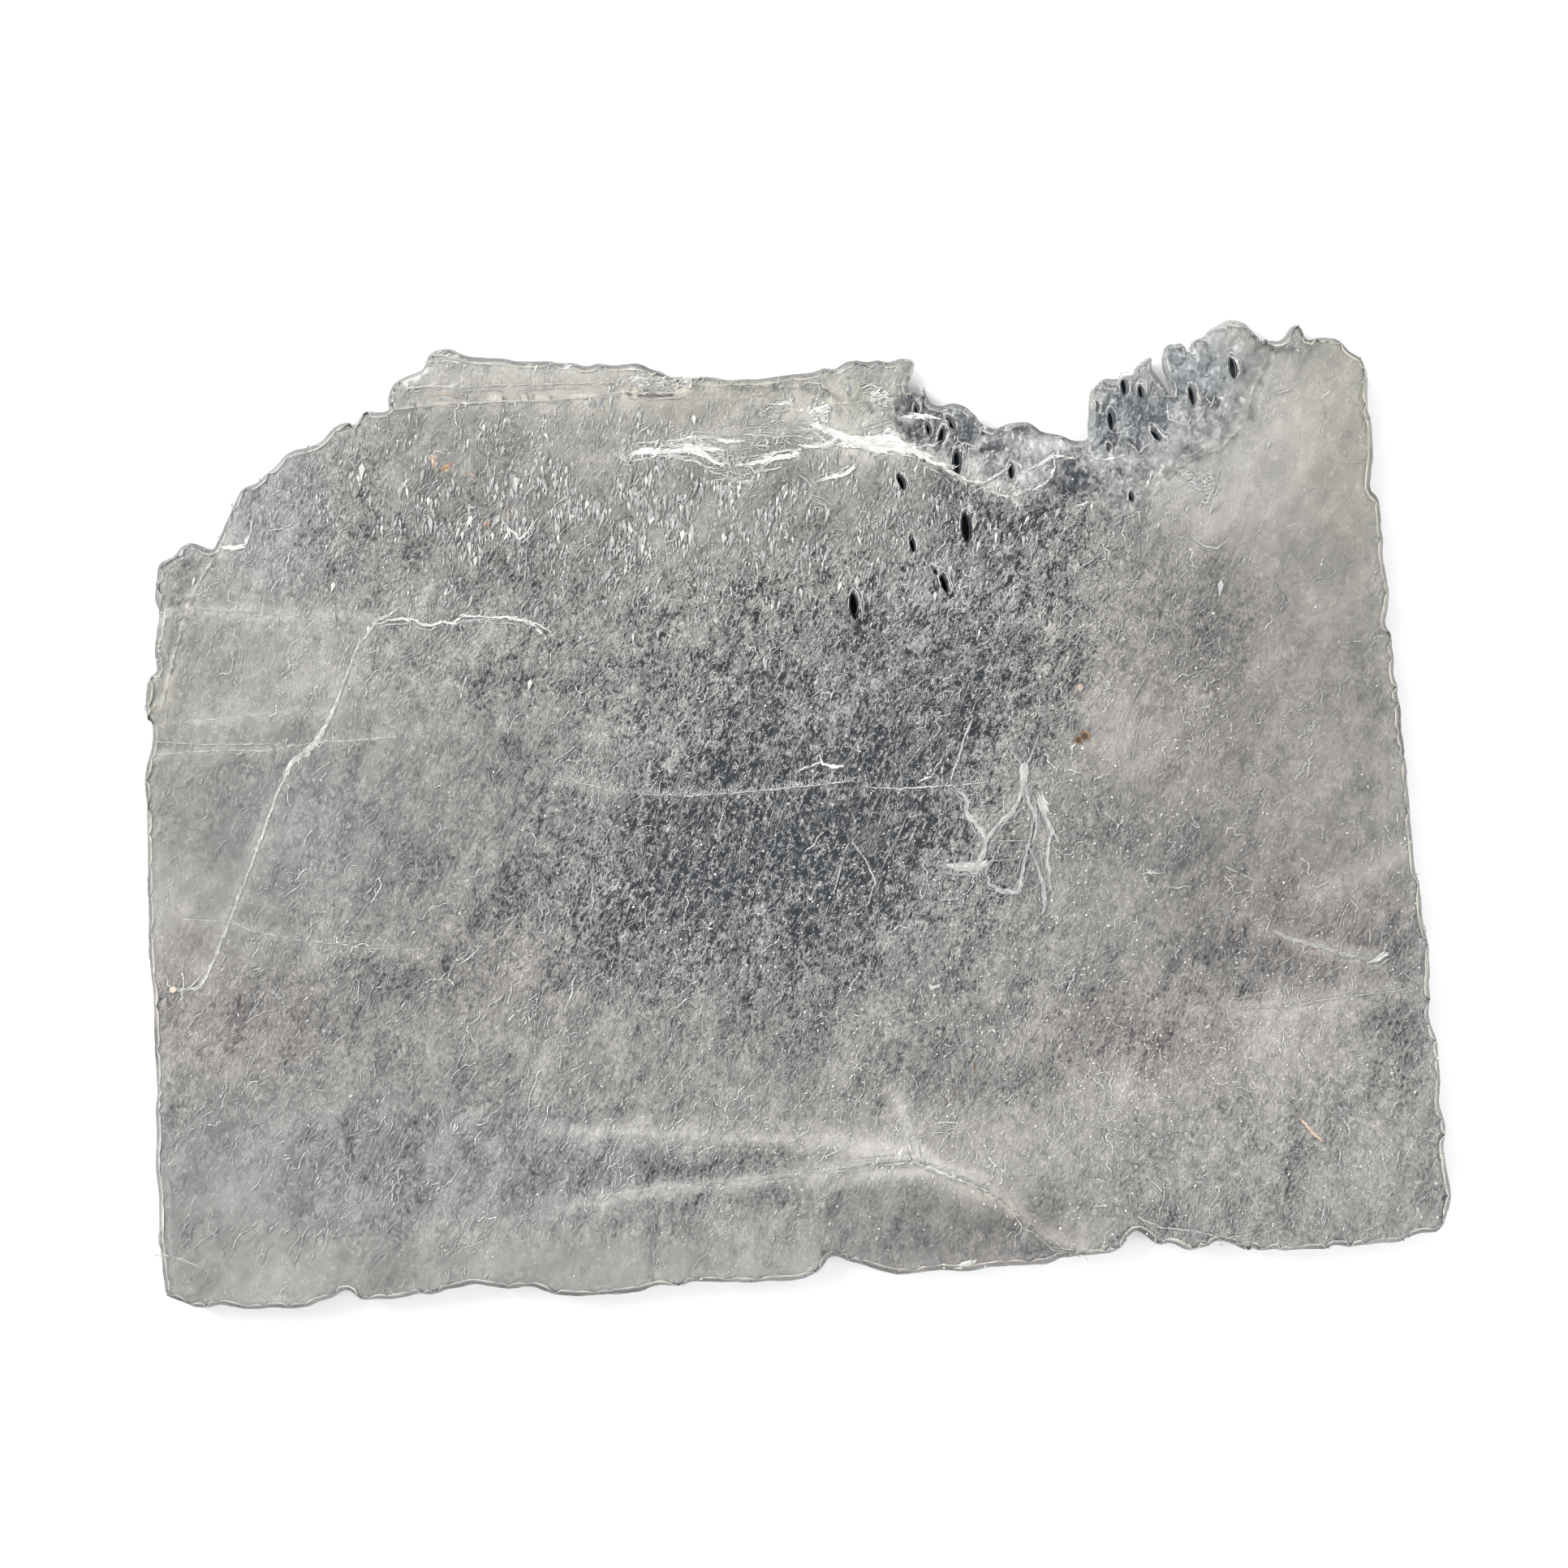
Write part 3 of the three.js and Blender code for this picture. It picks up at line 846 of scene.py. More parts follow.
def lifted(spots: Points, clouds: Sequence[Cloud], power: float = 1.0) -> Points:
    """What clouds add to the grey at spots of the plotting grid.

    Args:
        spots: An array of (x, y).
        clouds: The clouds.
        power: How blunt and sharp-edged the clouds are; 1 is soft.

    Returns:
        Grey steps.
    """
    total = np.zeros(len(spots))
    for cloud in clouds:
        away = (((spots - (cloud.x, cloud.y)) / (cloud.wide, cloud.tall)) ** 2).sum(1)
        total += cloud.lift * np.exp(-(away**power))
    return total


@dataclass
class CloudMap:
    """How milky and how feathery the crystal is at any place of the plan.

    Attributes:
        common: The common grey of the crystal, out of 255.
        clear: The linear brightness of a quite clear window.
        white: The linear brightness of a quite milky place.
        haze: The haze's own lightness.
        stray: How far clouds wander from their plotted places, in grid steps.
        lobe_stray: The same for the lobes of the dissolved corner.
        lobes: How strongly those lobes show.
        lobe_edge: How sharp-edged they are.
        drifts, banks, puffs, wool: How many grey steps each kind of noise spans.
        calm: The grain's roughness up to which there is no wool.
        cast: How far red and blue stand over green in a common place, in grey steps.
        hue: How much one step of a cast changes the haze's colour.
        common_share: How much the common grain weighs against a zone's, which weighs 2 in its middle.
    """

    grid: PlotGrid
    common: float = 139.0
    clear: float = 0.066
    white: float = 0.72
    haze: float = 0.72
    stray: float = 70.0
    lobe_stray: float = 16.0
    lobes: float = 1.8
    lobe_edge: float = 1.6
    drifts: float = 46.0
    banks: float = 26.0
    puffs: float = 30.0
    wool: float = 98.0
    calm: float = 0.3
    cast: Pair = (2.4, -4.8)
    hue: float = 0.018
    common_share: float = 0.3

    def __post_init__(self) -> None:
        """Sets up the noise that roughens the clouds."""
        self.drift_noise = SmoothNoise(51, (4.6 * MM, 14 * MM), -24, octaves=4)
        self.bank_noise = SmoothNoise(52, (16 * MM, 30 * MM), NOISE_LEAN, octaves=3)
        self.puff_noise = SmoothNoise(55, (2.4 * MM, 3.4 * MM), NOISE_LEAN, octaves=2)
        self.wool_noise = SmoothNoise(56, (4.4 * MM, 8.5 * MM), -24, octaves=3)
        self.warps = [SmoothNoise(seed, (9 * MM, 9 * MM), 0, 3) for seed in (53, 54)]

    def grey(self, places: Points) -> Points:
        """The crystal's soft grey at plan positions, out of 255.

        Args:
            places: An array of (x, y) in metres.

        Returns:
            Grey steps.
        """
        wobble = np.column_stack([warp.at(places) - 0.5 for warp in self.warps])
        spots = self.grid.plotted(places)
        grey = self.common + lifted(spots + self.stray * wobble, (*WINDOWS, *CLOUDS))
        grey += self.lobes * lifted(spots + self.lobe_stray * wobble, LOBES, self.lobe_edge)
        for line in SOFT_LINES:
            away = distance_to(rows_of(line.path), spots)
            grey += line.lift * np.exp(-((away / line.reach) ** 2))
        grey += self.drifts * (self.drift_noise.at(places) - 0.5)
        grey += self.banks * (self.bank_noise.at(places) - 0.5)
        woolly = np.maximum(self.grain(places).rough - self.calm, 0)
        grey += self.puffs * (self.puff_noise.at(places) - 0.5)
        return grey + self.wool * woolly * (self.wool_noise.at(places) - 0.5)

    def casts(self, places: Points) -> tuple[Points, Points]:
        """How far red and how far blue stand over green at plan positions, in grey steps."""
        spots = self.grid.plotted(places)
        return self.cast[0] + lifted(spots, BLUSHES), self.cast[1] + lifted(spots, COOLS)

    def tint(self, places: Points) -> Points:
        """The haze's colour at plan positions.

        Args:
            places: An array of (x, y) in metres.

        Returns:
            Rows of red, green and blue.
        """
        red, blue = self.casts(places)
        tint = np.full((len(places), 3), self.haze)
        tint[:, 0] *= 1 + self.hue * red
        tint[:, 2] *= 1 + self.hue * blue
        return tint

    def milk(self, places: Points) -> Points:
        """How much of the light a place sends back, from 0 (clear) to 1 (white)."""
        shine = np.clip(self.grey(places) / 255, 0, 1) ** 2.2
        return np.clip((shine - self.clear) / (self.white - self.clear), 0, 1)

    def grain(self, places: Points) -> Grain:
        """The grain at plan positions.

        Args:
            places: An array of (x, y) in metres.

        Returns:
            The grain.
        """
        spots = self.grid.plotted(places)
        weight = np.full(len(places), self.common_share)
        total = self.common_share * np.tile(COMMON_GRAIN.values(), (len(places), 1))
        for zone in GRAIN_ZONES:
            away = (((spots - (zone.x, zone.y)) / (zone.wide, zone.tall)) ** 2).sum(1)
            share = 2 * np.exp(-(away**1.5))
            total += share[:, None] * zone.values()
            weight += share
        return Grain(*(total / weight[:, None]).T)


# ---- Meshes ----


def placed(name: str, data: bpy.types.ID) -> Piece:
    """A new object at the origin, linked to the scene.

    Args:
        name: The object's name.
        data: Its mesh, lamp or camera.

    Returns:
        The object.
    """
    made = bpy.data.objects.new(name, data)
    bpy.context.scene.collection.objects.link(made)
    return made


def mesh_object(name: str, corners: Points, faces: Sequence[Sequence[int]] | Points) -> Piece:
    """A mesh object at the origin, linked to the scene.

    Args:
        name: The piece's name.
        corners: An array of (x, y, z) in metres.
        faces: The faces as corner numbers.

    Returns:
        The object.
    """
    mesh = bpy.data.meshes.new(name)
    faces = faces.tolist() if isinstance(faces, np.ndarray) else faces
    mesh.from_pydata(corners.tolist(), [], faces)
    mesh.validate()
    mesh.update()
    return placed(name, mesh)


def open_edges(piece: Piece) -> int:
    """How many edges of a piece don't join exactly two faces.

    Args:
        piece: The piece.

    Returns:
        The count, which is 0 for a closed mesh.
    """
    counts = np.zeros(len(piece.data.edges), int)
    loops = np.zeros(len(piece.data.loops), np.int32)
    piece.data.loops.foreach_get("edge_index", loops)
    np.add.at(counts, loops, 1)
    return int((counts != 2).sum())


def outer_edges(faces: Points) -> list[tuple[int, int]]:
    """The edges that only one of the triangles has, in the triangles' own order."""
    sides = dict.fromkeys((a, b) for face in faces.tolist() for a, b in zip(face, face[1:] + face[:1]))
    return [(a, b) for a, b in sides if (b, a) not in sides]


def triangulated(
    plan: Points, edges: Sequence[Sequence[int]], kind: int = 1, near: float = 1e-8
) -> tuple[Points, Points, list[list[int]]]:
    """The corners of triangles that follow given edges, the triangles, and what each corner stands for."""
    made = geometry.delaunay_2d_cdt([Vector(p) for p in plan], list(edges), [], kind, near, True)
    return np.array([(v.x, v.y) for v in made[0]]), np.array(made[2]), made[3]


def edges_along(lines: Sequence[tuple[int, bool]]) -> list[list[int]]:
    """Edges along lines whose points are numbered one line after another.

    Args:
        lines: For each line how many points it has, and True if its last point joins its first.

    Returns:
        Pairs of point numbers.
    """
    edges, first = [], 0
    for count, closed in lines:
        number = np.arange(first, first + count)
        pairs = np.column_stack([number, np.roll(number, -1)])
        edges += (pairs if closed else pairs[:-1]).tolist()
        first += count
    return edges


def spread_out(low: Points, high: Points, pitch: float) -> Points:
    """Points of the plan in rows and columns between two corners."""
    axes = (np.arange(low[k], high[k], pitch) for k in (0, 1))
    return np.stack(np.meshgrid(*axes), -1).reshape(-1, 2)


def band(lower: Points, upper: Points) -> Points:
    """Faces between two closed rings of corner numbers, with the first ring below an anticlockwise second."""
    return np.column_stack([lower, np.roll(lower, -1), np.roll(upper, -1), upper])


def corners_of(piece: Piece) -> Points:
    """A piece's corners.

    Args:
        piece: The piece.

    Returns:
        An array of (x, y, z) in metres.
    """
    corners = np.zeros(len(piece.data.vertices) * 3)
    piece.data.vertices.foreach_get("co", corners)
    return corners.reshape(-1, 3)


def written(piece: Piece, label: str, values: Points) -> None:
    """Writes a number or a colour on each corner of a piece.

    Args:
        piece: The piece.
        label: The attribute's name.
        values: A number or a colour for each corner.
    """
    kind, key = ("FLOAT_COLOR", "color") if values.ndim > 1 else ("FLOAT", "value")
    layer = piece.data.attributes.new(label, kind, "POINT")
    layer.data.foreach_set(key, values.astype(np.float32).ravel())


def headed(angle: Points) -> Points:
    """Ways to run on the plotting grid, for angles from X."""
    return np.column_stack([np.cos(angle), -np.sin(angle)])


@dataclass
class CrystalSkin:
    """The crystal's fine surface: crown, ledges, pits, layered broken sides and flat foot.

    Attributes:
        layers: The top of each layer that shows on the broken sides, as a share of the thickness, and how
            far it lies inside the rim on average, in millimetres.
        pit_steps: The loops of a pit, as a share of the way out to its mouth and a share of its depth.
        plain_pitch: The spacing of points on the smooth crown.
        floor_pitch: The spacing of points on the ledges and in the scoop.
        rough_pitch: The spacing of points on the etched floor.
        foot_pitch: The spacing of points on the foot.
        facet: How long a flat of a layer's edge is, at least and at most, in millimetres.
        facet_share: How far the flats stand to and fro, as a share of the layer's inset.
        chips: The spacing of the small chips along a layer's edge.
        chip: How far they stand to and fro, in millimetres.
        riser: How far the top and the foot of a ledge's riser stand to each side of its outline.
        lip: How far under the crown's edge a layer has to end to show.
    """

    shape: SlabShape
    layers: tuple[Pair, ...] = (
        (0.09, 1.5), (0.2, 1.0), (0.33, 0.5), (0.47, 0.1), (0.62, 0.05), (0.74, 0.3), (0.87, 0.65), (1, 1),
    )
    pit_steps: tuple[Pair, ...] = (
        (1, 0), (0.96, 0.1), (0.66, 0.13), (0.62, 0.3), (0.36, 0.34), (0.32, 0.6), (0.02, 0.66), (0, 1),
    )
    plain_pitch: float = 3.0 * MM
    floor_pitch: float = 1.1 * MM
    rough_pitch: float = 0.62 * MM
    foot_pitch: float = 6 * MM
    facet: Pair = (2.5, 13)
    facet_share: float = 0.75
    chips: float = 0.9 * MM
    chip: float = 0.07
    riser: float = 0.07 * MM
    lip: float = 0.12 * MM

    def build(self) -> Piece:
        """Builds the skin as one closed mesh.

        Returns:
            The skin.
        """
        shape = self.shape
        rings = self._rings(shape.rim, *inwards(shape.rim))
        top_ring = rings[-1][0]
        top_points, top_faces, border = self._crown(top_ring)
        origin = self._origins(top_points[border][:, :2], top_ring)
        walls = [(self._resampled(ring, origin), height) for ring, height in rings]
        corners, faces = self._joined(top_points, top_faces, border, walls)
        skin = mesh_object("selenite_crystal", corners, faces)
        self._cleaned(skin)
        self._mark_frost(skin)
        return skin

    def _rings(self, rim: Points, normal: Points, room: Points) -> list[tuple[Points, float]]:
        """The rings of the broken sides, from the foot up.

        Args:
            rim: The rim, anticlockwise.
            normal: Its inward normals.
            room: How far each point may move in.

        Returns:
            Each ring's points and its height.
        """
        rng = np.random.default_rng(41)
        rings, below = [], 0.0
        length = np.arange(len(rim)) * self.shape.pitch
        facets = 400
        for share, inset in self.layers:
            cuts = np.cumsum(rng.uniform(*self.facet, facets)) * MM
            facet = rng.uniform(-1, 1, facets + 1)[np.searchsorted(cuts, length)]
            facet = np.convolve(np.pad(facet, 2, mode="wrap"), np.ones(5) / 5, "valid")
            knots = np.arange(0, length[-1] + 2 * MM, self.chips)
            fine = np.interp(length, knots, rng.uniform(-1, 1, len(knots)))
            depth = inset * (1 + self.facet_share * facet) + self.chip * fine * min(1.0, inset * 4)
            moved = rim + normal * np.minimum(np.maximum(depth, 0) * MM, room)[:, None]
            top = share * self.shape.thickness
            rings.append((moved, below))
            rings.append((moved + normal * 0.03 * MM, top - 0.02 * MM if share < 1 else top))
            below = top
        return rings

    def _crown(self, ring: Points) -> tuple[Points, Points, Points]:
        """The upper surface: crown, ledges, etched floor and pits.

        Args:
            ring: The top ring of the sides.

        Returns:
            The corners, the faces, and the corner numbers round the border, anticlockwise.
        """
        shape = self.shape
        lines = [(ring, np.full(len(ring), np.nan), True)]
        for region in shape.regions:
            normal = normals_of(region.outline, True, 2)
            for side in (self.riser, -self.riser):
                line = region.outline + normal * side
                sampled = shape.top(region.outline + normal * 3 * side)
                lines += [(line[run], sampled[run], False) for run in self._runs_inside(line, ring)]
        pits = [self._pit_loops(pit) for pit in PITS]
        lines += [(loop, height, True) for loops in pits for loop, height in loops]
        edges = edges_along([(len(points), closed) for points, _, closed in lines])
        loose = self._scattered(ring, [loops[0][0] for loops in pits])
        fixed = np.concatenate([*(height for _, height, _ in lines), np.full(len(loose), np.nan)])
        plan = np.vstack([*(points for points, _, _ in lines), loose])
        corners, triangles, stood_for = triangulated(plan, edges)
        height = shape.top(corners)
        for number, sources in enumerate(stood_for):
            known = [fixed[s] for s in sources if not math.isnan(fixed[s])]
            if known:
                height[number] = min(known)
        triangles = triangles[inside(ring, corners[triangles].mean(1))]
        return np.column_stack([corners, height]), triangles, self._border(triangles)

    def _runs_inside(self, line: Points, ring: Points) -> list[Points]:
        """The stretches of a closed line that lie inside the ring.

        Args:
            line: The line's points.
            ring: The ring's points.

        Returns:
            Each stretch as an array of point numbers.
        """
        held = np.flatnonzero(inside(ring, line))
        if not len(held):
            return []
        runs = np.split(held, np.flatnonzero(np.diff(held) > 1) + 1)
        if len(runs) > 1 and runs[0][0] == 0 and runs[-1][-1] == len(line) - 1:
            runs[0] = np.concatenate([runs.pop(), runs[0]])
        return [run for run in runs if len(run) > 2]

    def _pit_loops(self, pit: Pit) -> list[tuple[Points, Points]]:
        """The nested loops of a pit, from its mouth down.

        Args:
            pit: The pit.

        Returns:
            Each loop's points and their heights.
        """
        shape, step = self.shape, self.shape.grid.step
        slot = kite(pit.length * step, pit.width * step)
        mouth = kite(pit.length * pit.mouth * step, pit.width * (pit.mouth + 0.35) * step)
        middle = shape.grid.places(pit.at)[0]
        drift = np.array([0.16 * pit.width, 0.14 * pit.length]) * step * (pit.mouth - 1) * 2
        crown = shape.top(middle[None, :])[0]
        loops = []
        for share, depth in self.pit_steps:
            loop = turned(slot * (1 - share) + mouth * share, pit.lean) + middle + drift * share
            sunk = np.full(len(loop), crown + (shape.pit_floor - crown) * depth)
            loops.append((loop, sunk if depth else shape.top(loop)))
        return loops

    def _scattered(self, ring: Points, pits: list[Points]) -> Points:
        """Loose points for the faces' corners: close on rough floors and far apart on the smooth crown.

        Args:
            ring: The top ring of the sides.
            pits: The pits' mouths, which stay free.

        Returns:
            Plan positions in metres.
        """
        shape, rng = self.shape, np.random.default_rng(42)
        zones = [(ring, self.plain_pitch)]
        zones += [(r.outline, self.rough_pitch if r.rough > 0.6 else self.floor_pitch) for r in shape.regions]
        kept = []
        for outline, pitch in zones:
            low, high = np.maximum(outline.min(0), ring.min(0)), np.minimum(outline.max(0), ring.max(0))
            mesh = spread_out(low, high, pitch)
            mesh += rng.uniform(-0.3, 0.3, mesh.shape) * pitch
            kept.append(mesh[inside(outline, mesh)])
        loose = np.vstack(kept)
        return loose[within(ring, pits, loose)]

    def _border(self, faces: Points) -> Points:
        """The corner numbers round the outside of the upper surface, anticlockwise.

        Args:
            faces: The upper surface's triangles.

        Returns:
            The corner numbers in order.
        """
        onward = dict(outer_edges(faces))
        start = next(iter(onward))
        border = [start]
        while onward[border[-1]] != start:
            border.append(onward[border[-1]])
        return np.array(border)

    def _origins(self, border: Points, ring: Points) -> Points:
        """Where each border point lies along the ring.

        Args:
            border: The border's points.
            ring: The ring's points.

        Returns:
            A ring index with a fraction for each border point.
        """
        where = np.zeros(len(border))
        ahead = np.roll(ring, -1, axis=0) - ring
        span = np.maximum((ahead**2).sum(1), 1e-18)
        for number, spot in enumerate(border):
            along = np.clip(((spot - ring) * ahead).sum(1) / span, 0, 1)
            gap = ((ring + ahead * along[:, None] - spot) ** 2).sum(1)
            near = int(gap.argmin())
            where[number] = near + along[near]
        return where

    def _resampled(self, ring: Points, where: Points) -> Points:
        """A ring's points at given indices.

        Args:
            ring: The ring's points.
            where: The indices, with fractions.

        Returns:
            The points.
        """
        low = np.floor(where).astype(int) % len(ring)
        share = (where - np.floor(where))[:, None]
        return ring[low] * (1 - share) + ring[(low + 1) % len(ring)] * share

    def _joined(
        self, top: Points, faces: Points, border: Points, walls: list[tuple[Points, float]]
    ) -> tuple[Points, list[list[int]]]:
        """Joins the upper surface, the sides and the foot.

        Args:
            top: The upper surface's corners.
            faces: Its faces.
            border: The corner numbers round it, anticlockwise.
            walls: The rings below it, from the foot up, with as many points as the border.

        Returns:
            The corners and the faces of the whole skin.
        """
        corners, made = [top], faces.tolist()
        count, around = len(top), len(border)
        upper, edge = border, top[border]
        for ring, height in reversed(walls[:-1]):
            place = np.column_stack([ring, np.full(around, height)])
            buried = height > edge[:, 2] - self.lip
            place[buried] = edge[buried]
            corners.append(place)
            lower = np.arange(around) + count
            count += around
            made += band(upper, lower)[:, [0, 3, 2, 1]].tolist()
            upper = lower
        foot = corners[-1][:, :2]
        loose = spread_out(foot.min(0), foot.max(0), self.foot_pitch)
        plan = np.vstack([foot, loose[inside(foot, loose)]])
        flat, triangles, stood_for = triangulated(plan, edges_along([(around, True)]), near=1e-9)
        numbers, added = np.zeros(len(flat), int), []
        for number, sources in enumerate(stood_for):
            on_rim = [upper[s] for s in sources if s < around]
            numbers[number] = on_rim[0] if on_rim else count + len(added)
            if not on_rim:
                added.append((*flat[number], 0.0))
        corners.append(np.array(added).reshape(-1, 3))
        triangles = triangles[inside(foot, flat[triangles].mean(1))]
        made += numbers[triangles[:, ::-1]].tolist()
        return np.vstack(corners), made

    def _cleaned(self, skin: Piece) -> None:
        """Merges coincident corners and lets smooth shading stop at crisp edges.

        Args:
            skin: The skin.
        """
        work = bmesh.new()
        work.from_mesh(skin.data)
        bmesh.ops.remove_doubles(work, verts=work.verts, dist=2e-6)
        bmesh.ops.dissolve_degenerate(work, edges=work.edges, dist=1e-7)
        bmesh.ops.triangulate(work, faces=[f for f in work.faces if len(f.verts) > 3])
        bmesh.ops.recalc_face_normals(work, faces=work.faces)
        work.to_mesh(skin.data)
        work.free()
        skin.data.shade_smooth()
        skin.data.set_sharp_from_angle(angle=math.radians(32))

    def _mark_frost(self, skin: Piece) -> None:
        """Writes how frosted each corner is, from 0 on the cleavage faces to 1 on broken sides.

        Args:
            skin: The skin.
        """
        corners = corners_of(skin)
        top = self.shape.top(corners[:, :2])
        frost = np.clip((top - corners[:, 2]) / (1.2 * MM), 0, 1)
        frost[corners[:, 2] < 1e-6] = 0.15
        for region in self.shape.regions:
            held = inside(region.outline, corners[:, :2]) & (corners[:, 2] > 1e-6)
            frost[held] = np.maximum(frost[held], region.rough)
        written(skin, "frost", frost)


def mark_haze(piece: Piece, clouds: CloudMap, milk: Points) -> None:
    """Writes a hazy piece's milkiness, roughness and tint on its corners.

    Args:
        piece: The piece.
        milk: The milkiness of each corner.
    """
    places = corners_of(piece)[:, :2]
    written(piece, "milk", milk)
    written(piece, "rough", clouds.grain(places).rough)
    written(piece, "tint", np.column_stack([clouds.tint(places), np.ones(len(places))]))


@dataclass
class RimHaze:
    """The satin splintered rim: a thin shell of haze just inside the broken sides.

    Attributes:
        profile: Rings of the shell as (share of the height, inset in millimetres).
        depth: How thick it is.
        milk: How milky it is at least and at most.
    """

    shape: SlabShape
    clouds: CloudMap
    profile: tuple[Pair, ...] = ((0.08, 1.75), (0.5, 0.3), (0.78, 0.75), (0.965, 1.25))
    depth: float = 0.3 * MM
    milk: Pair = (0.3, 0.7)

    def build(self) -> Piece:
        """Builds the shell.

        Returns:
            The closed shell.
        """
        rim = self.shape.rim
        normal, room = inwards(rim)
        rim, normal, room = rim[::3], normal[::3], room[::3]
        count = len(rim)
        rings = []
        for back, profile in ((0.0, self.profile), (self.depth, self.profile[::-1])):
            for share, inset in profile:
                loop = rim + normal * np.minimum(inset * MM + back, room + 0.3 * back)[:, None]
                height = np.maximum(self.shape.top(loop) * share, (1 + share) * MM)
                rings.append(np.column_stack([loop, height]))
        total = len(rings)
        corners = np.stack(rings, 1).reshape(-1, 3)
        start = total * np.arange(count)
        after = total * ((np.arange(count) + 1) % count)
        faces = []
        for i in range(total):
            j = (i + 1) % total
            faces += [np.column_stack([start + i, after + i, after + j]),
                      np.column_stack([start + i, after + j, start + j])]
        shell = mesh_object("rim_haze", corners, np.vstack(faces))
        waves = SmoothNoise(64, (2.4 * MM, 2.4 * MM), 0, 3).at(corners[:, :2])
        share = np.clip((waves - 0.3) * 2.2, 0, 1)
        mark_haze(shell, self.clouds, self.milk[0] + (self.milk[1] - self.milk[0]) * share)
        return shell


@dataclass
class MilkyVeil:
    """A thin closed sheet of milkiness sealed in the crystal.

    Attributes:
        depth: How far it lies under the crown.
        share: How much of the milkiness it carries.
        pitch: The spacing of its points.
        seed: The seed of its points and waves.
    """

    name: str
    shape: SlabShape
    clouds: CloudMap
    depth: float
    share: float
    pitch: float
    seed: int
    thickness: float = 0.05 * MM
    margin: float = 1.05 * MM
    etched_points: float = 1.1e6

    def build(self) -> Piece:
        """Builds the sheet.

        Returns:
            The sheet, with its milkiness as the attribute "milk".
        """
        rng = np.random.default_rng(self.seed)
        rim = self.shape.rim[::2]
        loop = rim + normals_of(rim, True, 3) * self.margin
        low, high = loop.min(0), loop.max(0)
        loose = spread_out(low, high, self.pitch)
        loose += rng.uniform(-0.3, 0.3, loose.shape) * self.pitch
        etched = self.shape.regions[-1].outline
        low, high = etched.min(0), etched.max(0)
        extra = rng.uniform(low, high, (int(self.etched_points * float(np.prod(high - low))), 2))
        loose = np.vstack([loose, extra[inside(etched, extra)]])
        mouths = self.shape.mouths
        loose = loose[within(loop, mouths, loose)]
        edges = edges_along([(len(line), True) for line in (loop, *mouths)])
        corners, faces, _ = triangulated(np.vstack([loop, *mouths, loose]), edges, kind=0)
        return self._sheet(corners, faces[within(loop, mouths, corners[faces].mean(1))])

    def _sheet(self, corners: Points, faces: Points) -> Piece:
        """Gives the plan triangles their heights, a back and an edge.

        Args:
            corners: The plan positions of the corners, in metres.
            faces: The triangles.

        Returns:
            The sheet.
        """
        height = np.clip(self.shape.top(corners) - self.depth, 1.0 * MM, None)
        pinched = np.array([-1])
        while len(pinched):
            starts, times = np.unique([a for a, _ in outer_edges(faces)], return_counts=True)
            pinched = starts[times > 1]
            faces = faces[~np.isin(faces, pinched).any(1)]
        used = np.unique(faces)
        renumber = np.zeros(len(corners), int)
        renumber[used] = np.arange(len(used))
        corners, height, faces = corners[used], height[used], renumber[faces]
        count = len(corners)
        upper = np.column_stack([corners, height])
        lower = np.column_stack([corners, height - self.thickness])
        rim = outer_edges(faces)
        walls = [(a, a + count, b + count) for a, b in rim] + [(a, b + count, b) for a, b in rim]
        everything = np.vstack([faces, faces[:, ::-1] + count, np.array(sorted(walls))])
        veil = mesh_object(self.name, np.vstack([upper, lower]), everything)
        veil.data.shade_smooth()
        milk = np.clip(self.clouds.milk(corners) * self.share, 0, 1)
        mark_haze(veil, self.clouds, np.tile(milk, 2))
        return veil


@dataclass
class Solid:
    """The corners and triangles of closed pieces, with each corner's lightness and warmth.

    Attributes:
        corners: An array of (x, y, z).
        faces: An array of triangles.
        palette: The lightness and the rustiness of each corner, from 0 to 1.
    """

    corners: Points
    faces: Points
    palette: Points


def joined(name: str, solids: Sequence[Solid]) -> Piece:
    """Joins solids in one mesh whose UV position holds their lightness and warmth.

    Args:
        name: The piece's name.
        solids: The solids.

    Returns:
        The joined mesh.
    """
    starts = np.cumsum([0] + [len(solid.corners) for solid in solids])
    corners = np.vstack([solid.corners for solid in solids])
    faces = np.vstack([solid.faces + start for solid, start in zip(solids, starts)])
    palette = np.vstack([solid.palette for solid in solids])
    made = mesh_object(name, corners, faces)
    mesh = made.data
    corner_of = np.zeros(len(mesh.loops), np.int32)
    mesh.loops.foreach_get("vertex_index", corner_of)
    patch = np.array([(0, 0), (1, 0), (0.6, 1), (0, 1), (1, 1), (0.4, 0), (0.8, 0.6), (0.2, 0.7)])
    offset = (patch[corner_of % len(patch)] - 0.5) * 0.012
    place = np.clip(palette[corner_of], 0, 1) * 0.96 + 0.02 + offset
    layer = mesh.uv_layers.new(name="OFBake")
    layer.uv.foreach_set("vector", place.astype(np.float32).ravel())
    return made


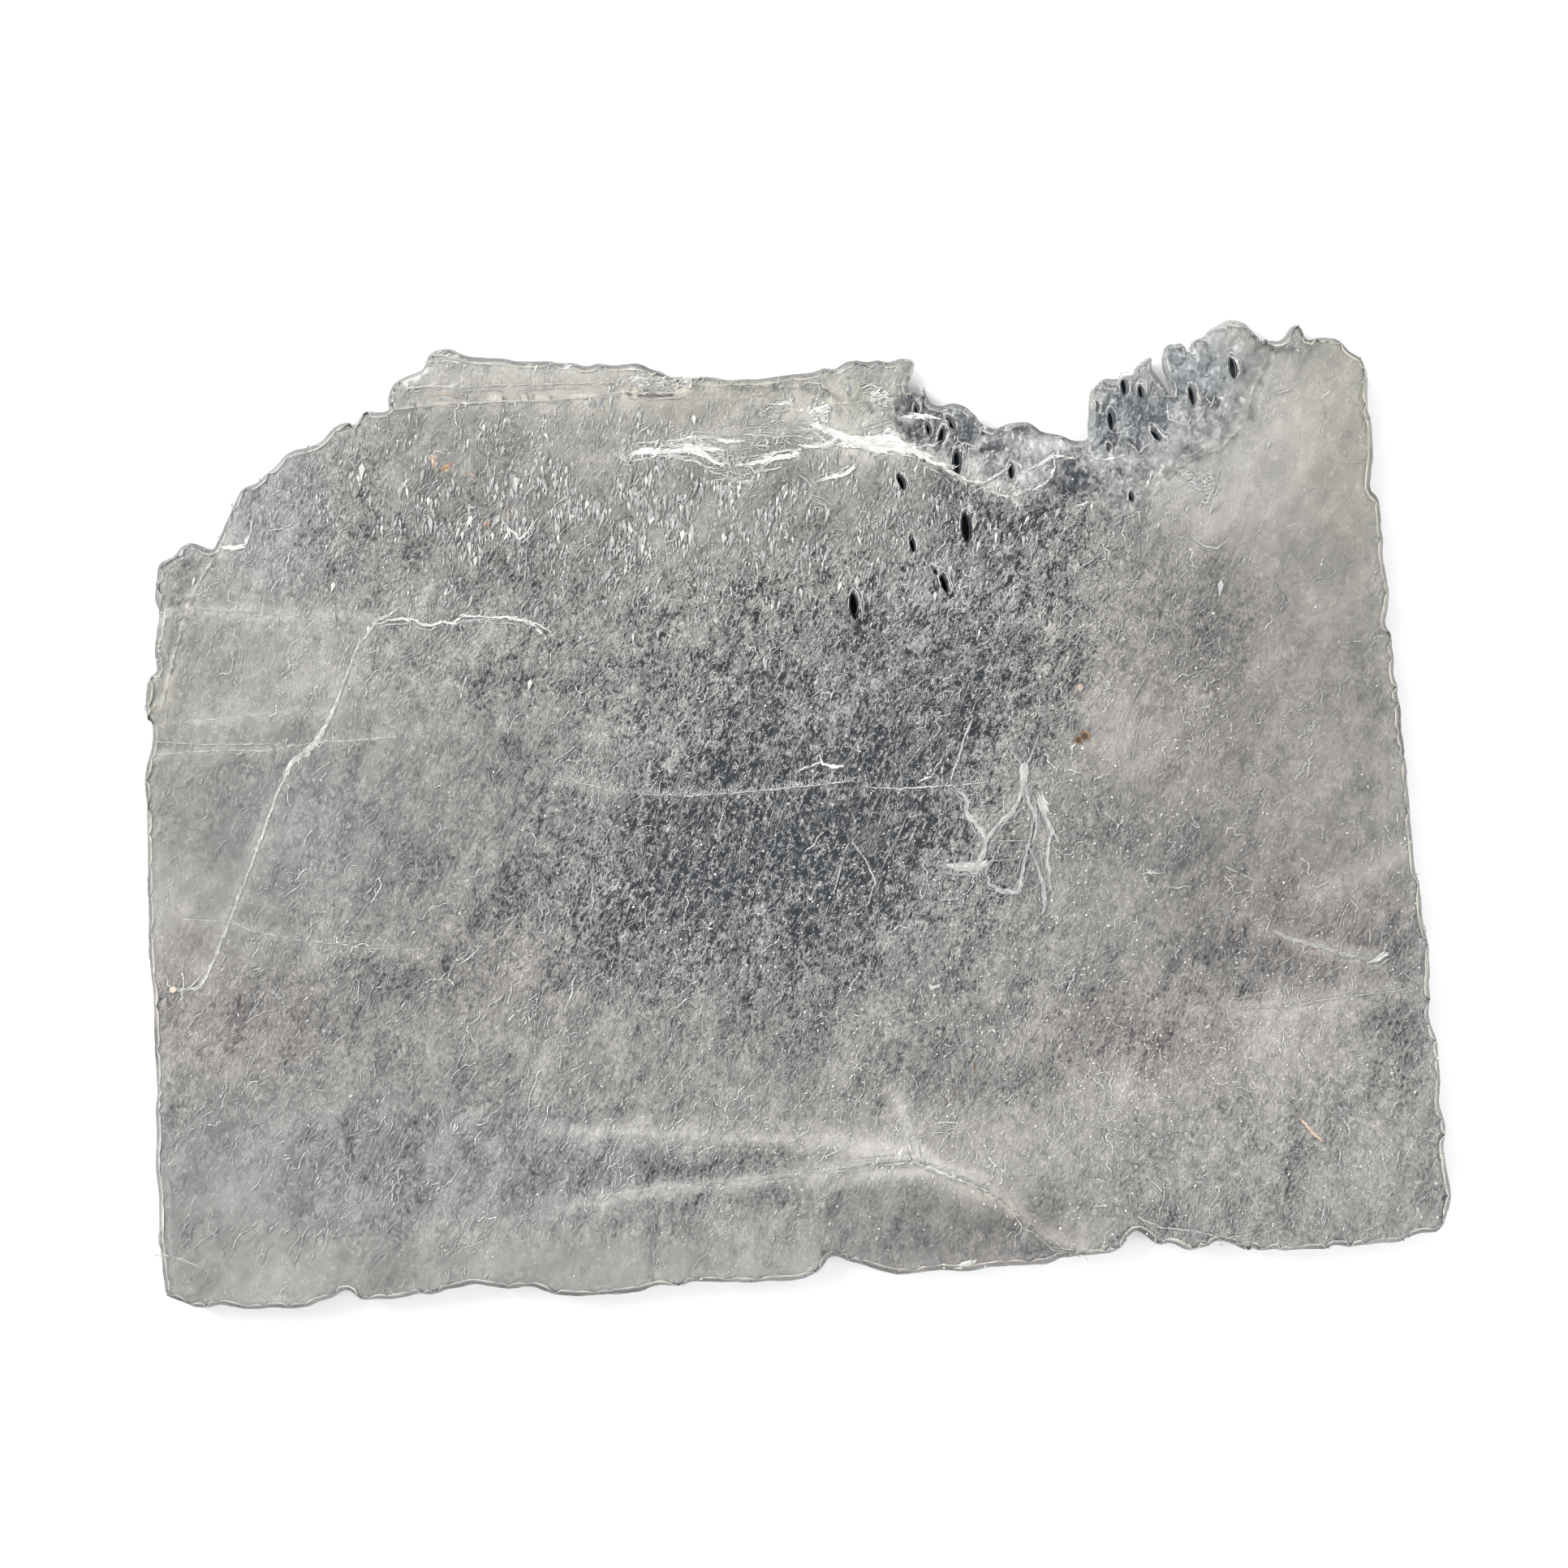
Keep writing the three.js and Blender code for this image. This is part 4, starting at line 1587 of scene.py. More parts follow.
@dataclass
class Slivers:
    """Many closed slivers, each a pointed blade with a ridge.

    Attributes:
        heads: One end of each, as (x, y, z).
        tails: The other end of each.
        widths: Their widest width.
        tones: Their lightness at the head, from 0 (slate) to 1 (white).
        fades: Their lightness at the tail.
        warmths: How rusty they are, from 0 to 1.
        bows: How far each bends sideways, or nothing for straight ones.
        seed: The seed of how each is turned about its length.
    """

    heads: Points
    tails: Points
    widths: Points
    tones: Points
    fades: Points
    warmths: Points
    bows: Points | None = None
    seed: int = 0

    def solid(self) -> Solid:
        """Builds the slivers.

        Returns:
            All of them as one solid.
        """
        rng = np.random.default_rng(self.seed)
        count = len(self.heads)
        along = self.tails - self.heads
        along = along / np.maximum(np.linalg.norm(along, axis=1, keepdims=True), 1e-9)
        side = np.cross(along, (0.0, 0.0, 1.0))
        side /= np.maximum(np.linalg.norm(side, axis=1, keepdims=True), 1e-9)
        up = np.cross(side, along)
        roll = rng.uniform(-0.35, 0.35, (count, 1))
        across = side * np.cos(roll) + up * np.sin(roll)
        over = up * np.cos(roll) - side * np.sin(roll)
        half = self.widths[:, None] / 2
        stations = (0.3,) if self.bows is None else (0.24, 0.6)
        rows = [self.heads]
        for station in stations:
            middle = self.heads * (1 - station) + self.tails * station
            if self.bows is not None:
                middle = middle + side * self.bows[:, None]
            slim = half * (1 - 0.45 * (station > 0.5))
            rows += [middle + across * slim, middle + over * slim * 0.3, middle - across * slim]
        rows.append(self.tails)
        corners = np.stack(rows, 1).reshape(-1, 3)
        pattern = self._pattern(len(stations))
        faces = pattern[None] + (np.arange(count) * len(rows))[:, None, None]
        shares = np.array([0.0] + [station for station in stations for _ in range(3)] + [1.0])
        tones = self.tones[:, None] * (1 - shares) + self.fades[:, None] * shares
        palette = np.column_stack([tones.ravel(), np.repeat(self.warmths, len(rows))])
        return Solid(corners, faces.reshape(-1, 3), palette)

    def _pattern(self, stations: int) -> Points:
        """The triangles of one sliver.

        Args:
            stations: How many cross-sections it has.

        Returns:
            An array of corner numbers.
        """
        last = 1 + 3 * stations
        faces = []
        for i in range(3):
            j = (i + 1) % 3
            faces.append((0, 1 + i, 1 + j))
            faces.append((last, last - 3 + j, last - 3 + i))
            for station in range(stations - 1):
                a, b = 1 + 3 * station + i, 1 + 3 * station + j
                faces += [(a, b + 3, b), (a, a + 3, b + 3)]
        return np.array(faces)


@dataclass
class Feathers:
    """The feathery fractures: tufts of short slivers that fill the crystal like down.

    Attributes:
        lean: The common direction, in degrees from X.
        tuft: How many slivers make a tuft.
        links: How many slivers make the longest hair.
        length: A common feather's length.
        length_spread: The middle and the spread of the logarithm of a feather's length against that.
        width: A common feather's width.
        width_spread: The same for its width.
        slimmest: The least width of a feather.
        plumpest: Its greatest width, as a share of its length.
        slope: The middle and the spread of how steeply a feather rises.
        bow: How far a bent feather bends, as a share of its length.
        turn: How far a tuft turns from the grain, in degrees: where all is parallel, and more where not.
        fan: How far its feathers fan out, given in the same way.
        tuft_wide: How wide a tuft is, in millimetres: where nothing is parallel, and more where all is.
        tuft_open: How far a tuft is open at its root, and how much more at its tip.
        tuft_tall: How tall a tuft is, in millimetres.
        lift: How many grey steps a feather's bright end stands out: at least, and more where it shines.
        glint: The shape and the scale of the gamma draw of how much it shines.
        tip_lift: How strongly it shines at a tuft's root, and how much more at its tip.
        dullness: How many grey steps a feather's dull end stands back.
        rust: The middle and the spread of how rusty a feather is.
        cool_share: How much less rusty it is for each grey step that the crystal's cast is cooler.
        cover: How far under the crown a feather's ends stay at least.
        foot: How far over the foot they stay.
        exposure: How many times lighter a feather looks than it is.
    """

    shape: SlabShape
    clouds: CloudMap
    lean: float = 67.0
    tuft: int = 8
    links: int = 10
    length: float = 1.55 * MM
    length_spread: Pair = (-0.1, 0.42)
    width: float = 0.22 * MM
    width_spread: Pair = (0.0, 0.38)
    slimmest: float = 0.07 * MM
    plumpest: float = 0.3
    slope: Pair = (0.1, 0.2)
    bow: float = 0.2
    turn: Pair = (6, 26)
    fan: Pair = (5, 46)
    tuft_wide: Pair = (0.34, 0.25)
    tuft_open: Pair = (0.4, 0.8)
    tuft_tall: float = 2.2
    lift: Pair = (4, 2.1)
    glint: Pair = (0.9, 1.0)
    tip_lift: Pair = (0.35, 0.8)
    dullness: float = 8
    rust: Pair = (0.045, 0.03)
    cool_share: float = 0.012
    cover: float = 0.22 * MM
    foot: float = 0.4 * MM
    exposure: float = 1.2

    def layer(
        self, name: str, count: int, depths: Pair, seed: int, curved: bool, size: float
    ) -> Piece:
        """Builds one layer of feathers.

        Args:
            name: The piece's name.
            count: How many feathers.
            depths: The least and greatest depth under the crown, in metres.
            seed: The seed of the layer.
            curved: True for bent feathers.
            size: Their size against the common one.

        Returns:
            The joined mesh.
        """
        rng = np.random.default_rng(seed)
        roots = self._scattered(rng, count // self.tuft)
        grain = Grain(*(np.repeat(values, self.tuft) for values in self.clouds.grain(roots)))
        grey = np.repeat(self.clouds.grey(roots), self.tuft)
        count = len(grey)
        loose = 1 - grain.order
        mean = np.repeat(rng.normal(0, 1, len(roots)), self.tuft)
        mean = mean * np.radians(self.turn[0] + self.turn[1] * loose)
        fan = rng.normal(0, 1, count)
        common = np.radians(grain.lean)
        angle = common + mean - fan * np.radians(self.fan[0] + self.fan[1] * loose)
        rise = rng.random(count)
        wide = (self.tuft_wide[0] + self.tuft_wide[1] * grain.order) * MM
        across = wide * fan * (self.tuft_open[0] + self.tuft_open[1] * rise)
        up = (rise - 0.5) * self.tuft_tall * MM
        lean = common + mean
        places = np.repeat(roots, self.tuft, axis=0) + np.column_stack([
            np.cos(lean) * up + np.sin(lean) * across,
            np.sin(lean) * up - np.cos(lean) * across,
        ])
        length = rng.lognormal(*self.length_spread, count) * self.length * grain.long * size
        width = rng.lognormal(*self.width_spread, count) * self.width * grain.plump * size
        width = np.clip(width, self.slimmest, self.plumpest * length)
        top = self.shape.top(places)
        tuft_share, own_share = 0.8, 0.2
        deep = np.repeat(rng.random(len(roots)), self.tuft) * tuft_share + own_share * (1 - rise)
        height = top - depths[0] - (depths[1] - depths[0]) * deep
        tilt = rng.normal(*self.slope, count)
        half = np.column_stack([np.cos(angle), np.sin(angle), tilt]) * (length / 2)[:, None]
        middle = np.column_stack([places, height])
        heads, tails = middle + half, middle - half
        for ends in (heads, tails):
            ends[:, 2] = np.clip(ends[:, 2], self.foot, top - self.cover)
        glint = rng.gamma(*self.glint, count) - 0.1
        tip = self.tip_lift[0] + self.tip_lift[1] * rise
        lift = self.lift[0] + self.lift[1] * grain.shine * glint * tip
        bright = self._shine(grey + lift)
        dull = self._shine(grey - self.dullness)
        common_cast = -4.0
        cool = self.clouds.casts(places)[1] - common_cast
        warmth = np.clip(rng.normal(*self.rust, count) - self.cool_share * cool, 0, 1)
        values = [heads, tails, width, bright, dull, warmth]
        if curved:
            values.append(rng.normal(0, self.bow, count) * length)
        kept = self._in_stone(heads[:, :2]) & self._in_stone(tails[:, :2])
        return joined(name, [Slivers(*(value[kept] for value in values), seed=seed + 1).solid()])

    def crinkles(self, name: str, count: int, seed: int) -> Piece:
        """Builds wiggly bright hairs, each a chain of short slivers.

        Args:
            name: The piece's name.
            count: How many hairs.
            seed: The seed of their places and shapes.

        Returns:
            The joined mesh.
        """
        rng = np.random.default_rng(seed)
        grid = self.shape.grid
        shortest, longest, slimmest, plumpest = 3.0, 6.5, 0.9, 2.1
        swing_kept, overlap = 0.45, 1.45
        roots = self._scattered(rng, count)
        grain = self.clouds.grain(roots)
        grey = self.clouds.grey(roots)
        loose = 1 - grain.order
        heading = np.radians(grain.lean) + rng.normal(0, 1, count) * (0.1 + 0.5 * loose)
        heading += np.pi * (rng.random(count) < 0.3 * loose)
        alive = rng.integers(2, self.links + 1, count) * np.clip(grain.long, 0.5, 1)
        spots = grid.plotted(roots)
        tone = self._shine(grey + 12 + 1.6 * grain.shine * rng.gamma(1.3, 0.6, count))
        thick = rng.uniform(slimmest, plumpest, count)
        swing = rng.normal(0, 0.5, count)
        solids = []
        for link in range(self.links):
            swing = swing_kept * swing + rng.normal(0, 1, count) * (0.32 + 0.5 * loose)
            way = headed(heading + swing)
            length = rng.uniform(shortest, longest, count)
            ends = spots + way * length[:, None]
            kept = (link < alive) & self._in_stone(grid.places(ends)) & self._in_stone(grid.places(spots))
            middle = (spots + ends)[kept] / 2
            fade = rng.uniform(0.6, 1.0, int(kept.sum()))
            solids.append(Fractures(self.shape).splinters(
                middle, way[kept], overlap * length[kept], thick[kept],
                depth=0.3, tone=tone[kept] * fade, warmth=0.03, rng=rng))
            spots = ends
        return joined(name, solids)

    def _in_stone(self, places: Points) -> Points:
        """Which plan positions lie inside the rim and in no pit's mouth."""
        return within(self.shape.rim, self.shape.mouths, places)

    def needles(self, name: str, count: int, seed: int) -> Piece:
        """Builds long thin needles, small chevrons, upright flakes and bright specks.

        Args:
            name: The piece's name.
            count: How many needles and chevrons; there are more flakes and specks.
            seed: The seed of their places.

        Returns:
            The joined mesh.
        """
        rng = np.random.default_rng(seed)
        # Each zone is its middle and its spread on the plotting grid.
        needle_zone, flake_zone = ((1000, 920), (260, 260)), ((930, 620), (260, 62))
        sown = [rng.normal(*zone, (count, 2)) for zone in (needle_zone, flake_zone)]
        spots, flakes = (spot[inside(self.shape.rim, self.shape.grid.places(spot))] for spot in sown)
        splinters = Fractures(self.shape).splinters
        stray, shortest, longest = 4, 25, 75
        way = headed(np.radians(self.lean + rng.normal(0, stray, len(spots))))
        long, thick = rng.uniform(shortest, longest, len(way)), np.ones(len(way))
        solids = [splinters(spots, way, long, thick, depth=0.4, tone=0.36, warmth=0.02, rng=rng)]
        # A chevron's lean and opening in degrees, each as its middle and its spread.
        lean, opening, slimmest, plumpest = (-6, 10), (19, 8), 0.7, 1.8
        size = rng.lognormal(2.1, 0.35, len(flakes))
        turn = rng.normal(*lean, len(size))
        for side in (-1, 1):
            way = headed(np.radians(90 + turn + side * rng.normal(*opening, len(size))))
            place, thick = flakes - way * size[:, None] / 2, rng.uniform(slimmest, plumpest, len(size))
            solids.append(splinters(place, way, size, thick, depth=0.3, tone=0.5, warmth=0.03, rng=rng))
        drops, specks = 30 * count, 8 * count
        return joined(name, [*solids, self._drops(drops, rng), self._specks(specks, rng)])

    def _drops(self, count: int, rng: Random) -> Solid:
        """Upright plump flakes that lie in clumps along the far side.

        Args:
            count: How many are sown; those outside the clumps are left out.
            rng: The source of the random draws.

        Returns:
            The flakes.
        """
        middle, spread = (800, 630), (230, 66)
        clump_size, clump_low, clump_high = 5 * MM, 0.4, 0.66
        upright, stray = 84, 9
        drops = rng.normal(middle, spread, (count, 2))
        places = self.shape.grid.places(drops)
        clump = SmoothNoise(59, (clump_size, clump_size), 0, 2).at(places)
        drops = drops[self._in_stone(places) & (clump > rng.uniform(clump_low, clump_high, count))]
        way = headed(np.radians(rng.normal(upright, stray, len(drops))))
        size = rng.lognormal(2.15, 0.35, len(drops))
        thick = size * rng.uniform(0.18, 0.42, len(drops))
        tone = rng.gamma(2.2, 0.2, len(drops)) * 0.5 + 0.26
        splinters = Fractures(self.shape).splinters
        return splinters(drops, way, size, thick, depth=0.35, tone=tone, warmth=0.03, rng=rng)

    def _specks(self, count: int, rng: Random) -> Solid:
        """Short bright specks that lie any way in the near right part.

        Args:
            count: How many are sown; those outside the stone are left out.
            rng: The source of the random draws.

        Returns:
            The specks.
        """
        middle, spread = (1250, 1230), (330, 210)
        specks = rng.normal(middle, spread, (count, 2))
        specks = specks[self._in_stone(self.shape.grid.places(specks))]
        way = headed(rng.uniform(0, np.pi, len(specks)))
        size = rng.uniform(2.0, 4.5, len(specks))
        tone = rng.uniform(0.5, 1.0, len(specks))
        splinters = Fractures(self.shape).splinters
        return splinters(specks, way, size, 0.6 * size, depth=0.2, tone=tone, warmth=0.02, rng=rng)

    def _shine(self, grey: Points) -> Points:
        """The lightness a feather needs to look that grey, from 0 to 1."""
        return np.clip(grey / 255, 0.1, 1.0) ** 2.2 / self.exposure

    def _scattered(self, rng: Random, count: int) -> Points:
        """Places for the tufts, denser where the grain is.

        Args:
            rng: The source of the random draws.
            count: How many places.

        Returns:
            Plan positions in metres.
        """
        rim = self.shape.rim[::4]
        loop = rim + normals_of(rim, True, 3) * 1.8 * MM
        low, high = loop.min(0), loop.max(0)
        clumps = SmoothNoise(58, (4.4 * MM, 7.0 * MM), NOISE_LEAN, 3)
        kept: list[Points] = []
        total = 0
        while total < count:
            tries = rng.uniform(low, high, (3 * count, 2))
            tries = tries[inside(loop, tries)]
            clump = np.clip((clumps.at(tries) - 0.42) * 5, 0.06, 1)
            dense = self.clouds.grain(tries).many * clump
            tries = tries[rng.random(len(tries)) * 1.4 < dense]
            kept.append(tries)
            total += len(tries)
        return np.vstack(kept)[:count]


# ---- Cracks, the torn white band and stains ----


@dataclass(frozen=True)
class Trace:
    """A crack that shows as a ragged white ribbon.

    Attributes:
        path: Its corners, as x, y and width in turn, in grid steps.
        depth: How far it lies under the crown, in millimetres.
        tone: Its lightness, from 0 to 1.
        frays: How many fine slivers stand out from each grid step of it.
        fray_way: The way they point, in degrees from X.
        fray_long: How long they are, in grid steps.
        warmth: How rusty it is, from 0 to 1.
        gaps: How much of it is missing, from 0 to 1.
        echoes: How many fainter copies run beside it.
    """

    path: tuple[float, ...]
    depth: float = 0.5
    tone: float = 0.75
    frays: float = 0.1
    fray_way: float = 70.0
    fray_long: float = 5.0
    warmth: float = 0.03
    gaps: float = 0.0
    echoes: int = 0

    def rows(self) -> Points:
        """The path as rows of x, y and width."""
        return rows_of(self.path, 3)

    def changed(self, rows: Points, **values: float) -> Trace:
        """The same crack with other rows and values."""
        return replace(self, path=tuple(rows.ravel().tolist()), **values)


@dataclass(frozen=True)
class Dot:
    """A round speck.

    Attributes:
        at: Its middle on the plotting grid.
        radius: Its radius in grid steps.
        depth: How far it lies under the crown, in millimetres.
        tone: Its lightness, from 0 to 1.
        warmth: How rusty it is, from 0 to 1.
    """

    at: Pair
    radius: float
    depth: float
    tone: float
    warmth: float


@dataclass(frozen=True)
class Patch:
    """A torn plate of white fracture.

    Attributes:
        outline: Its corners on the plotting grid, as x and y in turn.
        depth: How far it lies under the crown, in millimetres.
        tone: Its lightness, from 0 to 1.
        warmth: How rusty it is, from 0 to 1.
        way: How its splinters lie, in degrees from X.
    """

    outline: tuple[float, ...]
    depth: float = 0.5
    tone: float = 0.7
    warmth: float = 0.03
    way: float = 8.0


MAIN_CRACK = (
    Trace((493, 748, 2, 481, 757, 3, 466, 763, 4, 455, 778, 3, 439, 800, 3, 424, 842, 3, 411, 876, 4,
           400, 898, 4, 390, 914, 7, 376, 928, 7, 359, 941, 6, 344, 972, 3, 325, 1025, 3, 311, 1064, 3,
           294, 1106, 3, 279, 1148, 3, 261, 1190, 3, 248, 1217, 4, 232, 1219, 3, 214, 1219, 2), 0.5, 0.72,
           0.15, 75, 4),
    Trace((436, 788, 1.2, 424, 806, 1.2, 418, 824, 1), 0.5, 0.6, 0),
    Trace((246, 1203, 2, 238, 1214, 2, 224, 1222, 2, 208, 1214, 2, 206, 1204, 1.5), 0.4, 0.62, 0.1),
    Trace((194, 755, 2, 233, 750, 2.5, 282, 754, 2, 347, 759, 2, 410, 760, 2.5, 455, 758, 2), 0.8, 0.5, 0.1,
           20, 6),
    Trace((466, 769, 2, 478, 765, 3, 493, 763, 3, 512, 763, 3, 522, 770, 3, 531, 771, 3, 545, 766, 3,
           558, 769, 3, 569, 759, 3, 590, 760, 2.5, 623, 761, 3, 634, 762, 4, 650, 765, 3, 664, 770, 2,
           677, 778, 1.5), 0.3, 0.85, 0.1, 20, 6),
    Trace((646, 763, 3, 658, 770, 3, 672, 786, 1.5), 0.3, 0.7, 0.2, 140, 8),
    Trace((560, 768, 3, 580, 764, 2, 610, 764, 2), 0.5, 0.62, 0.1, 10, 6),
)
LEFT_CRACKS = (
    Trace((191, 930, 1.5, 240, 926, 2, 286, 924, 2, 325, 926, 2, 345, 921, 2, 397, 914, 2, 440, 912, 1.5,
           466, 910, 2, 500, 908, 1, 527, 900, 1), 0.7, 0.6, 0.1, 10, 7),
    Trace((190, 914, 1, 250, 917, 1.5, 300, 917, 1.5, 345, 916, 1), 0.5, 0.62, 0.05, 5, 7),
    Trace((198, 893, 1, 240, 888, 2, 286, 884, 2, 340, 877, 1.5, 397, 872, 1), 0.9, 0.52, 0.08, 8, 8),
    Trace((225, 1132, 1.5, 286, 1136, 1.5, 310, 1146, 2, 328, 1150, 2, 350, 1155, 1.5, 374, 1159, 1.5,
           420, 1163, 2, 447, 1168, 1.5, 490, 1170, 1, 527, 1170, 1), 0.6, 0.58, 0.1, 15, 6),
    Trace((566, 1188, 1, 578, 1180, 2.5, 592, 1167, 2), 0.4, 0.75, 0.05),
    Trace((262, 690, 2.5, 248, 712, 2, 235, 740, 2, 224, 775, 2, 214, 810, 2, 205, 850, 2, 200, 868, 2),
           0.4, 0.62, 0.05, 70, 5),
    Trace((277, 675, 5, 290, 676, 6, 302, 672, 4, 310, 655, 2, 312, 640, 1.5), 0.3, 0.8, 0.1),
    Trace((200, 1545, 2, 228, 1552, 2, 255, 1565, 1.5), 0.5, 0.55, 0.0),
    Trace((286, 762, 1, 300, 800, 1.2, 292, 850, 1), 0.6, 0.5, 0.1, 20, 6),
    Trace((618, 640, 1.5, 632, 656, 2.5, 640, 664, 3, 650, 656, 2, 660, 642, 1.5), 0.3, 0.75, 0.05),
)
MIDDLE_CRACKS = (
    Trace((680, 958, 1, 720, 966, 1.5, 760, 976, 1.5, 800, 979, 1.5, 850, 981, 2, 900, 977, 2, 950, 973, 2,
           1000, 968, 2, 1050, 962, 2), 0.5, 0.6, 1.1, 75, 6),
    Trace((1062, 968, 1.5, 1075, 970, 1.5, 1110, 972, 2, 1140, 970, 2, 1170, 968, 1.5, 1215, 964, 1.5), 0.4,
           0.66, 0.15, 60, 5),
    Trace((980, 952, 1.5, 988, 947, 2, 998, 944, 2, 1005, 941, 2, 1011, 939, 2), 0.3, 0.8, 0.1),
    Trace((1010, 930, 1, 1011, 936, 2, 1014, 941, 3, 1024, 944, 4, 1036, 944, 2.5), 0.2, 1.0, 0),
    Trace((1000, 960, 1, 1006, 954, 1.5, 1018, 952, 1.5), 0.4, 0.65, 0),
    Trace((1198, 885, 2.5, 1190, 905, 2.5, 1182, 930, 2.5, 1172, 957, 2), 0.4, 0.66, 0.05),
    Trace((1160, 935, 2, 1152, 948, 2.5, 1147, 956, 2.5, 1135, 961, 2), 0.4, 0.66, 0.05),
    Trace((1048, 1036, 1.5, 1066, 1058, 2, 1078, 1085, 2, 1070, 1112, 1.5), 0.5, 0.6, 0.1),
    Trace((1046, 1034, 1.5, 1036, 1068, 2, 1028, 1100, 1.2), 0.5, 0.6, 0),
    Trace((1095, 984, 1, 1084, 1012, 1.5, 1072, 1040, 1), 0.5, 0.6, 0),
    Trace((993, 1048, 1.5, 1004, 1040, 2, 1006, 1032, 1.5, 1015, 1025, 1.5), 0.4, 0.75, 0),
    Trace((1094, 1150, 1, 1108, 1141, 2, 1122, 1144, 1), 0.4, 0.75, 0.1),
    Trace((866, 1134, 1, 872, 1142, 4, 878, 1136, 1.5), 0.4, 0.8, 0.1),
    Trace((1143, 1210, 1, 1148, 1216, 4, 1155, 1214, 1.5), 0.4, 0.8, 0.1),
)
PAINTED_CRACKLE = (
    Trace((1178, 972, 2, 1186, 980, 4, 1193, 988, 4, 1190, 998, 4, 1196, 1008, 5, 1203, 1015, 5,
           1210, 1026, 5, 1215, 1034, 5), 0.1, 0.74, 0.5, 50, 4),
    Trace((1215, 1034, 4, 1225, 1022, 5, 1234, 1010, 4, 1247, 1001, 4, 1255, 985, 4, 1260, 965, 5,
           1262, 953, 8, 1262, 946, 6), 0.1, 0.74, 0.5, 60, 4),
    Trace((1262, 948, 3, 1250, 932, 1.5, 1235, 912, 1), 0.1, 0.66, 0),
    Trace((1263, 948, 3, 1272, 926, 1.5, 1280, 905, 1), 0.1, 0.62, 0),
    Trace((1262, 970, 3, 1268, 990, 4, 1275, 1003, 4, 1277, 1020, 3, 1273, 1035, 2), 0.1, 0.7, 0.4, 60, 4),
    Trace((1281, 983, 9, 1284, 993, 8, 1287, 1003, 4, 1295, 1022, 4, 1292, 1040, 3, 1290, 1060, 4,
           1292, 1080, 3, 1295, 1095, 1.5), 0.1, 0.76, 0.5, 60, 4),
    Trace((1295, 1022, 3, 1305, 1040, 1.5), 0.1, 0.7, 0.2),
    Trace((1215, 1034, 4, 1212, 1050, 5, 1207, 1060, 5, 1204, 1068, 6), 0.1, 0.74, 0.4, 60, 4),
    Trace((1165, 1066, 3, 1178, 1068, 7, 1192, 1068, 8, 1206, 1067, 6, 1215, 1064, 3), 0.1, 0.78, 1.4, -85,
           8),
    Trace((1158, 1066, 1, 1200, 1062, 1.5, 1245, 1059, 1), 0.1, 0.7, 0),
    Trace((1230, 1036, 1, 1275, 1035, 1), 0.1, 0.6, 0),
    Trace((1267, 1038, 1.5, 1262, 1060, 2, 1256, 1090, 2, 1255, 1100, 1), 0.1, 0.66, 0.2, 60, 4),
    Trace((1276, 994, 2, 1269, 1031, 3, 1262, 1062, 3, 1258, 1085, 4, 1254, 1098, 5, 1236, 1098, 5,
           1219, 1090, 3, 1216, 1079, 2), 0.1, 0.64, 0.3, 60, 4),
    Trace((1268, 1044, 2, 1277, 1066, 3, 1285, 1090, 4, 1286, 1108, 4, 1285, 1122, 2), 0.1, 0.62, 0.3, 60,
           4),
)
LOWER_CRACKS = (
    Trace((711, 1478, 1, 760, 1470, 2, 818, 1462, 2, 880, 1455, 2, 956, 1448, 2.5, 1047, 1441, 3,
           1130, 1431, 4), 0.8, 0.62, 0.12, 8, 8),
    Trace((760, 1476, 1, 850, 1464, 1.5, 960, 1455, 1), 1.2, 0.5, 0.05, 8, 8),
    Trace((960, 1444, 1, 1040, 1434, 2, 1120, 1428, 2), 0.6, 0.6, 0.05, 5, 8),
    Trace((719, 1393, 1, 800, 1393, 2, 897, 1398, 1.5, 990, 1400, 1.5, 1087, 1407, 2), 1.2, 0.52, 0.1, 5,
           8),
    Trace((1131, 1432, 6, 1124, 1410, 5, 1116, 1385, 4, 1110, 1356, 2), 0.8, 0.56, 0.3, 80, 8),
    Trace((1131, 1432, 5, 1112, 1400, 3, 1094, 1340, 1.5), 1.2, 0.5, 0.15, 75, 8),
    Trace((1128, 1432, 5, 1142, 1438, 6, 1156, 1444, 6, 1170, 1450, 5, 1187, 1456, 5, 1200, 1461, 4,
           1214, 1467, 3, 1230, 1478, 2, 1245, 1490, 2, 1257, 1508, 2, 1278, 1523, 2.5, 1297, 1540, 2.5,
           1336, 1546, 2), 0.5, 0.68, 0.25, -20, 6),
    Trace((1043, 1456, 1.5, 1021, 1471, 2, 990, 1487, 1), 0.5, 0.52, 0.05, 30, 6),
    Trace((1180, 1560, 3, 1190, 1557, 6, 1200, 1555, 3), 0.3, 0.85, 0),
    Trace((1150, 1384, 1, 1162, 1382, 2.5, 1177, 1383, 1), 0.4, 0.85, 0),
    Trace((1350, 1486, 1, 1358, 1484, 2.5, 1367, 1484, 1), 0.4, 0.8, 0),
    Trace((1410, 1448, 1.5, 1420, 1456, 2, 1430, 1466, 1), 0.4, 0.75, 0),
    Trace((1404, 1500, 2, 1430, 1512, 2, 1470, 1516, 2, 1510, 1524, 1.5, 1540, 1520, 1), 0.4, 0.6, 0.3, -80,
           5),
)
